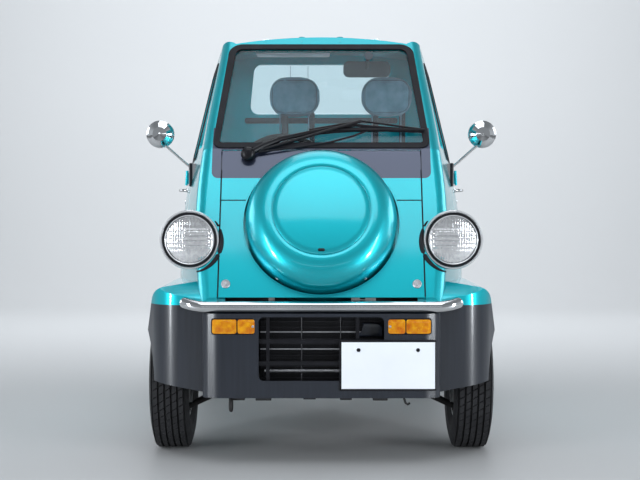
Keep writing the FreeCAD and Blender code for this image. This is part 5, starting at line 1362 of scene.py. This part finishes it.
for side_name, side in (("left", 1), ("right", -1)):
    tag = side_name.title()
    door = f"door_{side_name}"
    handle = Piece(f"DoorHandle{tag}")
    first, last = [skin_at(door, side, y, HANDLE_Z) for y in HANDLE_ENDS]
    out = Vector((side * HANDLE_REACH, 0, 0))
    inward = Vector((0, 0.010, 0))
    handle.swept([first - out * 0.15, first + out * 0.6, first + out + inward,
                  (first + last) / 2 + out * 1.12, last + out - inward, last + out * 0.6,
                  last - out * 0.15], HANDLE_RADII, sides=14)
    for end in (first, last):
        handle.turned(FOOT_PROFILE, placed(end, (side, 0, 0), UP), steps=20)
    lock = skin_at(door, side, -0.050, 0.945)
    handle.turned(LOCK_PROFILE, placed(lock, (side, 0, 0), UP), steps=20)
    handle.settle(door, "chrome")
    seal = Piece(f"DoorGlassSeal{tag}")
    glass_low, glass_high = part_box(f"door_glass_{side_name}")
    size = glass_high - glass_low
    middle = (glass_low + glass_high) / 2
    loop = []
    for y, z in round_rect(size.y + SEAL_GROW, size.z + SEAL_GROW, SEAL_ROUND, 6):
        spot = skin_at(door, side, middle.y + y, middle.z + z)
        if spot is not None and abs(spot.x) > SKIN_X:
            loop.append(spot)
    seal.swept(loop, SEAL_RADIUS, sides=8, wrap=True)
    seal.settle(door, "seal_rubber")
    print(tag, "seal points:", len(loop))

# %% [markdown]
# ## Mirrors and roof
# Each round mirror needs its glass, on the side that faces back, and two rubber pads under its
# bracket. The roof is stiffened by four pressed ribs that run its length. The ribs are laid on
# the roof with rays from above, thin at both ends, so that they fade into the sheet.

# %% Glaze the mirrors and press the roof ribs
MIRROR_X = 0.646
MIRROR_Z = 1.214
MIRROR_BACK = -0.6745
PAD_X = (0.487, 0.521)
RIB_X = (-0.222, -0.078, 0.076, 0.220)
RIB_START = -0.690
RIB_STEP = 0.0325
RIB_POINTS = 25
RIB_RADIUS = 0.013
RIB_TIP = 0.004
RIB_FLAT = 0.30
for side_name, side in (("Left", 1), ("Right", -1)):
    glass_disc = Piece(f"MirrorGlass{side_name}")
    back = placed((side * MIRROR_X, MIRROR_BACK, MIRROR_Z), (0, 1, 0), OUTWARD)
    glass_disc.turned([(0, 0), (0.0505, 0), (0.0505, 0.0012), (0.030, 0.0022), (0, 0.0026)], back, steps=40)
    glass_disc.settle("vehicle", "chrome", reflector_silver)
    pads = Piece(f"MirrorPads{side_name}")
    for x in PAD_X:
        pads.block((0.011, 0.094, 0.004), placed((side * x, -0.7235, 1.051), AHEAD, OUTWARD),
                   round_edge=0.001)
    pads.settle("vehicle", "seal_rubber")
ribs = Piece("RoofRibs")
roof = frame["nodes"]["roof_panel"]
for x in RIB_X:
    path = []
    for step in range(RIB_POINTS):
        hit, spot, _, _ = roof.ray_cast(Vector((x, RIB_START + step * RIB_STEP, 2.5)), Vector((0, 0, -1)))
        if hit:
            path.append(spot)
    radii = [RIB_TIP] + [RIB_RADIUS] * (len(path) - 2) + [RIB_TIP]
    ribs.swept(path, radii, sides=12, flat=RIB_FLAT, across=(1, 0, 0))
ribs.settle("vehicle", "body_paint")
print("roof ribs:", len(RIB_X))

# %% [markdown]
# ## Wiper
# The arm is a pressed channel, thick at its pivot, and its blade is a rubber strip in a jointed
# frame. A thin link runs beside the arm. The points are given where the picture shows them, and
# each is moved on to a plane just in front of the sloping windscreen.

# %% Thicken the wiper
SCREEN_FOOT = Vector((0, -1.061, 1.147))
SCREEN_SLOPE = 0.8596
ARM_LINE = [(-0.273, 1.120), (-0.215, 1.152), (-0.148, 1.180), (-0.034, 1.205), (0.060, 1.224),
            (0.128, 1.232)]
BLADE_LINE = [(-0.036, 1.199), (0.060, 1.211), (0.128, 1.216), (0.250, 1.216), (0.384, 1.209)]
FRAME_LINE = [(0.060, 1.222), (0.128, 1.233), (0.230, 1.224), (0.384, 1.211)]
LINK_LINE = [(-0.235, 1.128), (-0.100, 1.145), (0.033, 1.166), (0.120, 1.190), (0.176, 1.213)]
PIVOT_PROFILE = [(0, -0.012), (0.026, -0.012), (0.027, 0.002), (0.022, 0.010), (0.012, 0.014), (0, 0.0145)]


def on_screen(x, z, lift):
    """A point just in front of the windscreen, from its place across and its height."""
    return Vector((x, SCREEN_FOOT.y + (z - SCREEN_FOOT.z) * SCREEN_SLOPE - lift, z))


def laid(line, lift):
    """A line of places on the screen, all lifted off it by the same distance."""
    return [on_screen(x, z, lift) for x, z in line]


arm = Piece("WiperArm")
arm.swept(laid(ARM_LINE, 0.026), [0.012, 0.011, 0.009, 0.008, 0.007, 0.006], sides=10, flat=0.6)
arm.turned(PIVOT_PROFILE, placed(on_screen(*ARM_LINE[0], 0.024), AHEAD, OUTWARD), steps=32)
arm.settle("vehicle", "black_plastic")
blade = Piece("WiperBlade")
blade.swept(laid(BLADE_LINE, 0.010), [0.006, 0.0085, 0.0090, 0.0085, 0.006], sides=10, flat=0.7)
blade.swept(laid(FRAME_LINE, 0.019), [0.004, 0.006, 0.005, 0.004], sides=8)
blade.swept(laid(LINK_LINE, 0.016), radius=0.0038, sides=8)
blade.settle("vehicle", "black_plastic", finishes["seal_rubber"])
print("wiper thickened")

# %% [markdown]
# ## Seats
# A seat pad is foam in a sewn cloth bag that is a touch too small for it, so every face bows out
# and every corner stays tight. That is how it is made here: the plain solid is copied, cut into
# even squares, drawn in a little and blown up again as cloth with pressure and no gravity. How far
# a point may move is capped, so the pad keeps to the room that its solid leaves. The seams come
# last, as thin piping laid on the finished surface.

# %% Blow up the seat pads
CLOTH_FRAMES = 20
CLOTH_QUALITY = 4
MERGE_DISTANCE = 0.00005
CLOTH_PRESSURE = 4.0


def with_modifier(made, kind, **settings):
    """The object's mesh as one modifier leaves it."""
    modifier = made.modifiers.new(kind, kind)
    for key, value in settings.items():
        setattr(modifier, key, value)
    return baked(made)


def blown(made, cap):
    """Runs the cloth and moves each point as far as the cap lets it."""
    cloth = made.modifiers.new("Cloth", "CLOTH")
    cloth.settings.quality = CLOTH_QUALITY
    cloth.settings.use_pressure = True
    cloth.settings.uniform_pressure_force = CLOTH_PRESSURE
    cloth.settings.effector_weights.gravity = 0
    scene = bpy.context.scene
    for frame_number in range(1, CLOTH_FRAMES + 1):
        scene.frame_set(frame_number)
    evaluated = made.evaluated_get(bpy.context.evaluated_depsgraph_get())
    ends = [vertex.co.copy() for vertex in evaluated.data.vertices]
    made.modifiers.clear()
    for vertex, end in zip(made.data.vertices, ends):
        shift = end - vertex.co
        vertex.co += shift * min(1.0, cap / max(shift.length, 1e-9))
    scene.frame_set(1)


def seat_pad(name, node, voxel, drawn_in, cap):
    """The soft pad that stands in for a plain CAD solid."""
    form = bmesh.new()
    form.from_mesh(frame["nodes"][node].data)
    bmesh.ops.remove_doubles(form, verts=form.verts, dist=MERGE_DISTANCE)
    bmesh.ops.recalc_face_normals(form, faces=form.faces)
    made = mesh_piece(name, [], [])
    form.to_mesh(made.data)
    form.free()
    made.data = with_modifier(made, "REMESH", mode="VOXEL", voxel_size=voxel)
    normals = [vertex.normal.copy() for vertex in made.data.vertices]
    for vertex, normal in zip(made.data.vertices, normals):
        vertex.co -= normal * drawn_in
    blown(made, cap)
    made.data = with_modifier(made, "SUBSURF", levels=1, render_levels=1)
    settled(made, "vehicle", "seat_fabric", replaces=[node], soft=math.radians(80))
    print(name, "faces:", len(made.data.polygons))
    return made


pads = {
    "cushion": seat_pad("CushionPads", "seat_cushions", 0.008, 0.010, 0.014),
    "back": seat_pad("BackrestPads", "seat_backs", 0.008, 0.010, 0.013),
    "head": seat_pad("HeadrestPads", "headrests", 0.005, 0.0015, 0.005),
}

# %% [markdown]
# Piping follows the pads' own surface. Each seam is a row of points in the flat, dropped on to the
# pad by a ray, and a thin cord is swept through where they land.

# %% Lay the seams
SEATS = ((-0.121, 0.222), (0.298, 0.184))
PIPE = 0.0018
THIN_PIPE = 0.0013
PIPE_SHARE = 0.62
DOWN = Vector((0, 0, -1))
BACKWARD = Vector((0, 1, 0))


def dropped(tree, points, direction):
    """Where each point lands on the pad when it is thrown along the direction."""
    landed = [tree.ray_cast(Vector(point), Vector(direction))[0] for point in points]
    return [spot for spot in landed if spot is not None]


def line_between(start, end, steps=24):
    """Points evenly spaced from start to end."""
    return [Vector(start).lerp(Vector(end), i / steps) for i in range(steps + 1)]


trees = {}
for part, pad in pads.items():
    corners = [vertex.co for vertex in pad.data.vertices]
    trees[part] = BVHTree.FromPolygons(corners, [face.vertices for face in pad.data.polygons])
seams = Piece("CushionSeams")
for centre, half in SEATS:
    left, right = centre - half * PIPE_SHARE, centre + half * PIPE_SHARE
    for x in (left, right):
        line = line_between((x, -0.345, 0.9), (x, -0.08, 0.9))
        seams.swept(dropped(trees["cushion"], line, DOWN), PIPE, sides=6)
        line = line_between((x, -0.4, 0.70), (x, -0.4, 1.17))
        seams.swept(dropped(trees["back"], line, BACKWARD), PIPE, sides=6)
    for y in (-0.28, -0.18):
        line = line_between((left, y, 0.9), (right, y, 0.9))
        seams.swept(dropped(trees["cushion"], line, DOWN), PIPE, sides=6)
    for z in (0.80, 0.92, 1.04):
        line = line_between((left, -0.4, z), (right, -0.4, z))
        seams.swept(dropped(trees["back"], line, BACKWARD), PIPE, sides=6)
    ring = [(centre + x, -0.4, 1.422 + z) for x, z in round_rect(0.199, 0.144, 0.045, 7)]
    seams.swept(dropped(trees["head"], ring, BACKWARD), THIN_PIPE, sides=6, wrap=True)
seam_count = len(seams.mesh.verts)
seams.settle("vehicle", "seat_fabric", finishes["grey_interior"])
print("seam points:", seam_count)

# %% [markdown]
# ## Back window
# Through the windscreen the rubber frame of the back window shows, and the grey ledge under it.
# The frame is a rounded loop of four rings. The ledge is a thin plate, and a ray finds the wall
# that it lies on.

# %% Frame the back window
WALL_Y = 0.1165
WINDOW_WIDE = 0.655
WINDOW_TALL = 0.236
WINDOW_Z = 1.458
LEDGE_Z = 1.316
LEDGE_SINK = 0.0015
lining = Piece("BackWindowFrame")
outline = round_rect(WINDOW_WIDE, WINDOW_TALL, 0.040, 8)
rings = []
for grow, y in ((0.0, -0.006), (0.0, 0.004), (0.016, 0.004), (0.016, -0.004)):
    wider, taller = 1 + 2 * grow / WINDOW_WIDE, 1 + 2 * grow / WINDOW_TALL
    rings.append([Vector((x * wider, WALL_Y + y, WINDOW_Z + z * taller)) for x, z in outline])
lining.skin(rings, wrap=True)
lining.settle("vehicle", "seal_rubber", finishes["grey_interior"])
sill = Piece("BackWindowSill")
shell = frame["nodes"]["cab_shell"]
wall_hits = [shell.ray_cast(Vector((x, -0.30, LEDGE_Z)), BACKWARD) for x in (-0.30, 0.0, 0.30)]
wall_face = min(spot.y for hit, spot, _, _ in wall_hits if hit)
ledge = placed((0.0, wall_face - LEDGE_SINK, LEDGE_Z), AHEAD, OUTWARD)
sill.slab(round_rect(0.700, 0.026, 0.010), ledge, depth=0.007, round_edge=0.0020)
sill.settle("vehicle", "grey_interior")
print("back window framed, wall at", round(wall_face, 4))

# %% [markdown]
# ## Small things in the cab
# Each headrest stands on two flat steel brackets that run down into the seat back. A folded sun
# visor hangs from the roof on the driver's side, and thin heating wires run up the back window.
# The visor is white, and that white is a painted highlight: the pale bar under the roof's front edge.
# All are plates with round edges and straight thin bars.

# %% Carry the headrests and the visor
def landing(node, origin, direction):
    """Where a ray meets a node, or None."""
    hit, spot, _, _ = frame["nodes"][node].ray_cast(Vector(origin), Vector(direction))
    return spot if hit else None


HEADREST_Y = 0.056
POSTS = ((-0.165, 0.024), (-0.045, 0.024), (0.247, 0.022), (0.370, 0.020))
posts = Piece("HeadrestBrackets")
for x, wide in POSTS:
    posts.block((wide, 0.010, 0.170), placed((x, HEADREST_Y, 1.270), UP, OUTWARD), round_edge=0.003)
    for edge in (x - wide / 2, x + wide / 2):
        posts.swept([(edge, HEADREST_Y, 1.190), (edge, HEADREST_Y, 1.350)], radius=0.0036, sides=8)
posts.settle("vehicle", "seat_fabric", finishes["grey_interior"])
WIRE_Y = 0.1155
wires = Piece("BackWindowWires")
for x in (-0.141, -0.060, 0.281):
    wires.swept([(x, WIRE_Y, 1.352), (x, WIRE_Y, 1.568)], radius=0.0011, sides=6)
wires.settle("vehicle", "seal_rubber", finishes["black_plastic"])
VISOR_Y = -0.640
VISOR_Z = 1.546
visor = Piece("SunVisor")
visor.slab(round_rect(0.297, 0.120, 0.014), placed((-0.114, -0.590, VISOR_Z), UP, OUTWARD), depth=0.012,
           round_edge=0.0035, segments=3)
visor.swept([(-0.262, VISOR_Y, VISOR_Z), (0.034, VISOR_Y, VISOR_Z)], radius=0.0066, sides=12)
for x in (-0.250, 0.022):
    visor.swept([(x, VISOR_Y, VISOR_Z), (x, VISOR_Y, 1.575)], radius=0.0035, sides=8)
# The visor's slot is grey interior. Its white finish is a painted highlight along the roof's front edge.
visor.settle("vehicle", "grey_interior", finishes["plate_white"])
print("headrests and visor carried")

# %% [markdown]
# The steering wheel gets a horn pad, which turns with it. A gear lever stands between the seats,
# and two gauges with plain faces sit in the dashboard. All are turned on a lathe. Rays find the
# floor, the dashboard and the wheel's hub, so that each piece stands on its carrier.

# %% Fit the controls
PAD_PROFILE = [(0, 0), (0.030, 0), (0.032, 0.004), (0.030, 0.010), (0.024, 0.0125), (0.010, 0.0135),
               (0, 0.0135)]
BOOT_PROFILE = [(0.046, -0.002), (0.046, 0.006), (0.034, 0.016), (0.024, 0.038), (0.014, 0.060),
                (0.009, 0.064), (0, 0.064), (0, -0.002)]
KNOB_PROFILE = [(0, -0.018), (0.012, -0.014), (0.021, 0.002), (0.023, 0.016), (0.017, 0.030), (0, 0.036)]
BEZEL_PROFILE = [(0.036, -0.002), (0.043, -0.002), (0.043, 0.004), (0.040, 0.008), (0.036, 0.006)]
DIAL_PROFILE = [(0, -0.001), (0.0375, -0.001), (0.0375, 0.0015), (0.005, 0.0018), (0.0045, 0.0040),
                (0, 0.0040)]
wheel_axis = Vector((0, 0.788, 0.6157)).normalized()
hub_centre = Vector((-0.152, -0.640, 1.062))
hub_top = landing("steering_wheel", hub_centre + wheel_axis * 0.3, -wheel_axis)
pad = Piece("HornPad")
pad_place = placed(hub_top - wheel_axis * 0.002, wheel_axis, OUTWARD)
pad.turned(PAD_PROFILE, pad_place, steps=36)
pad.settle("steering_wheel", "black_plastic", finishes["black_plastic"])

lever = Piece("GearLever")
foot = landing("floor_pan", (0.088, -0.560, 0.9), (0, 0, -1))
lever.turned(BOOT_PROFILE, placed(foot, UP), steps=24)
top = foot + Vector((0.004, 0.060, 0.330))
lever.swept([foot + Vector((0, 0, 0.040)), foot + Vector((0, 0.010, 0.16)), top], radius=0.0065, sides=12)
lever.turned(KNOB_PROFILE, placed(top, UP), steps=24)
lever.settle("vehicle", "black_plastic")
gauges = Piece("GaugeRims")
faces = Piece("GaugeFaces")
for x in (-0.200, -0.104):
    spot = landing("dashboard", (x, -0.300, 1.020), AHEAD)
    seat = placed(spot, BACKWARD, -OUTWARD)
    gauges.turned(BEZEL_PROFILE, seat, steps=40, wrap=True)
    faces.turned(DIAL_PROFILE, seat, steps=40)
    faces.block((0.0016, 0.028, 0.0012), seat @ Matrix.Translation((0.004, 0.010, 0.0030)),
                round_edge=0.0003)
gauges.settle("vehicle", "chrome")
faces.settle("vehicle", "black_plastic", finishes["plate_white"])
print("controls fitted:", foot, hub_top)

# %% [markdown]
# The inner mirror is a rounded shell on a bent stalk that runs forward to a foot on the roof's
# front edge. Its glass is a thin plate on the side that faces the driver.

# %% Hang the inner mirror
MIRROR_MIDDLE = Vector((0.188, -0.5480, 1.4880))
MIRROR_FOOT = Vector((0.188, -0.752, 1.522))
mirror = Piece("InnerMirrorShell")
mirror.slab(round_rect(0.194, 0.064, 0.022, 7), placed(MIRROR_MIDDLE, AHEAD, OUTWARD), depth=0.026,
            round_edge=0.009, segments=4)
mirror.swept([MIRROR_MIDDLE + Vector((0, -0.010, 0.004)), (0.188, -0.620, 1.508), (0.188, -0.700, 1.521),
              MIRROR_FOOT], radius=0.0068, sides=12)
mirror.turned([(0, -0.004), (0.017, -0.004), (0.016, 0.006), (0.010, 0.011), (0, 0.011)],
              placed(MIRROR_FOOT, (0, 1, -0.1), OUTWARD), steps=24)
mirror.settle("vehicle", "black_plastic", finishes["grey_interior"], replaces=["inner_mirror"])
mirror_glass = Piece("InnerMirrorGlass")
glass_place = placed((0.188, -0.5345, 1.488), BACKWARD, OUTWARD)
mirror_glass.slab(round_rect(0.180, 0.052, 0.017, 7), glass_place, depth=0.0030, round_edge=0.0008)
mirror_glass.settle("vehicle", "chrome", reflector_silver)
print("cab dressed")

# %% [markdown]
# ## Load bed and tail
# A pickup's bed is pressed with long ribs so that cargo slides and water drains. Rope hooks line
# the outside of its walls. The tail lamps are upright boxes with four lens fields: red, amber, red
# and a narrow clear one at the foot. The tailgate is held by a latch at each upper corner and
# swings on lugs at its foot, and what is on it rides with it. A tree stamps the ribs.

# %% Rib the bed and light the tail
BED_FLOOR = 0.576
BED_MIDDLE = 0.760
BED_RIB_PITCH = 0.090
rib_spots = [Vector((step * BED_RIB_PITCH, BED_MIDDLE, BED_FLOOR + 0.0015)) for step in range(-5, 6)]
bed_bars = bar_recipe("BedBar", finishes["body_paint"])
stamp(bed_bars, "BedRibs", [(spot, UP, OUTWARD) for spot in rib_spots], "vehicle", "body_paint",
      Width=0.034, Length=1.130, Height=0.007)

LAMP_LOW = 0.604
LAMP_MID_X = 0.529
TAIL_Y = 1.394
LENS_WIDE = 0.068
LENS_DEPTH = 0.007
LENS_SINK = 0.001
SCREW_RISE = 0.068
SCREW_X = (-0.028, 0.028)
# Each lens field has its height above the lamp's foot, how tall it is, its finish and its name.
FIELDS = ((0.038, 0.058, "red_lens", "Stop"), (0.098, 0.046, "amber_lens", "Turn"),
          (0.143, 0.030, "red_lens", "Reflector"))
for side_name, side in (("Left", 1), ("Right", -1)):
    for rise, tall, slot, part in FIELDS:
        lens = Piece(f"Tail{part}{side_name}")
        face = placed((side * LAMP_MID_X, TAIL_Y - LENS_SINK, LAMP_LOW + rise), BACKWARD, -OUTWARD)
        lens.slab(round_rect(LENS_WIDE, tall - 0.003, 0.005), face, LENS_DEPTH, round_edge=0.0018,
                  segments=2)
        for row in range(4):
            rib = face @ Matrix.Translation((0, (row - 1.5) * tall / 5, 0.0038))
            lens.block((0.056, 0.0016, 0.0016), rib, round_edge=0.0003)
        lens.settle("vehicle", "red_lens", finishes[slot])
    clear = Piece(f"TailClear{side_name}")
    face = placed((side * LAMP_MID_X, TAIL_Y - LENS_SINK, LAMP_LOW + 0.007), BACKWARD, -OUTWARD)
    clear.slab(round_rect(LENS_WIDE, 0.010, 0.004), face, LENS_DEPTH, round_edge=0.0012, segments=2)
    clear.settle("vehicle", "lamp_glass", finishes["plate_white"])
    middle = Vector((side * LAMP_MID_X, TAIL_Y + 0.0022, LAMP_LOW + SCREW_RISE))
    tail_screws = [(middle + OUTWARD * x, BACKWARD, OUTWARD) for x in SCREW_X]
    stamp(screws, f"TailScrews{side_name}", tail_screws, "vehicle", "chrome", bright_steel, Radius=0.0036)
print("tail lamps fitted")

# %% [markdown]
# Hooks, latches, pressings and plate lamps are each set where a ray from behind or from the side
# meets the metal that carries them. A hook is a bent bar, and a latch is two plates and a knob.

# %% Hang the hooks and fit the tailgate
BEHIND = 2.0
HOOK_Y = (0.30, 0.62, 0.94, 1.24)
# Each point of a hook has its distance from the wall and its height over the hook's middle.
HOOK_BEND = ((-0.004, 0.014), (0.014, 0.012), (0.021, 0.0), (0.014, -0.014), (0.010, -0.020))
hooks = Piece("RopeHooks")
for side in (-1, 1):
    for y in HOOK_Y:
        wall = landing("bed_tub", (side, y, 0.470), (-side, 0, 0))
        if wall is not None:
            hooks.swept([wall + Vector((side * gap, 0, rise)) for gap, rise in HOOK_BEND], radius=0.0042,
                        sides=8)
hooks.settle("vehicle", "cast_metal")

latches = Piece("TailgateLatches")
for side in (-1, 1):
    seat = placed(landing("tailgate", (side * 0.430, BEHIND, 0.770), AHEAD), BACKWARD, OUTWARD)
    latches.block((0.052, 0.034, 0.0035), seat, round_edge=0.0010)
    latches.block((0.014, 0.054, 0.006), seat @ Matrix.Translation((0, 0.002, 0.0030)), round_edge=0.0018)
    latches.turned([(0, 0), (0.008, 0), (0.008, 0.006), (0.006, 0.0075), (0, 0.0075)], seat, steps=16)
latches.settle("tailgate", "chrome", finishes["cast_metal"])

beads = Piece("TailgatePressings")
for z in (0.660, 0.700):
    first = landing("tailgate", (-0.36, BEHIND, z), AHEAD)
    last = landing("tailgate", (0.36, BEHIND, z), AHEAD)
    line = [first, first.lerp(last, 0.02), first.lerp(last, 0.98), last]
    beads.swept(line, [0.003, 0.009, 0.009, 0.003], sides=10, flat=0.30, across=(0, 0, 1))
beads.settle("tailgate", "body_paint")

plate_lamp = Piece("PlateLamp")
for x in (-0.190, 0.190):
    spot = landing("rear_beam", (x, BEHIND, 0.430), AHEAD)
    plate_lamp.block((0.030, 0.024, 0.014), placed(spot, BACKWARD, OUTWARD), round_edge=0.004)
plate_lamp.settle("vehicle", "black_plastic")
print("tail dressed")

# %% [markdown]
# ## Under the floor
# Coil springs stand round the front dampers, and bolt heads line the frame's side members. A spring
# is a bar swept along a helix about the damper's own line, so it leans as the damper does.

# %% Wind the springs and bolt the frame
SPRING_FOOT = (0.400, -0.935, 0.228)
SPRING_HEAD = (0.366, -0.935, 0.402)
SPRING_RING = 0.033
SPRING_STEPS = 120
COILS = 6
BOLT_ROWS = 15
BOLT_START = -1.25
BOLT_PITCH = 0.17
BOLT_HEIGHTS = (0.353, 0.410, 0.455)
RAIL_FACE = 0.300
RAIL_SLACK = 0.002
CUP_PROFILE = [(0.018, -0.003), (0.041, -0.003), (0.041, 0.003), (0.018, 0.003)]
for side_name, side in (("Left", 1), ("Right", -1)):
    low_end, high_end = [Vector((side * x, y, z)) for x, y, z in (SPRING_FOOT, SPRING_HEAD)]
    line = placed(low_end, high_end - low_end, BACKWARD)
    length = (high_end - low_end).length
    spring = Piece(f"FrontSpring{side_name}")
    path = []
    for step in range(SPRING_STEPS + 1):
        turn = 2 * math.pi * COILS * step / SPRING_STEPS
        rise = length * step / SPRING_STEPS
        path.append(line @ Vector((SPRING_RING * math.cos(turn), SPRING_RING * math.sin(turn), rise)))
    spring.swept(path, radius=0.0048, sides=8)
    for height in (0.0, length):
        spring.turned(CUP_PROFILE, line @ Matrix.Translation((0, 0, height)), steps=28, wrap=True)
    spring.settle("vehicle", "underbody")
bolt_places = []
for side in (-1, 1):
    for index in range(BOLT_ROWS):
        y = BOLT_START + BOLT_PITCH * index
        for z in BOLT_HEIGHTS:
            spot = landing("chassis_frame", (side * 0.45, y, z), (-side, 0, 0))
            if spot is not None and abs(abs(spot.x) - RAIL_FACE) < RAIL_SLACK:
                bolt_places.append((spot, (side, 0, 0), UP))
                break
stamp(dark_bolts, "FrameBolts", bolt_places, "vehicle", "underbody", finishes["underbody"], Radius=0.009)
print("frame bolts:", len(bolt_places))
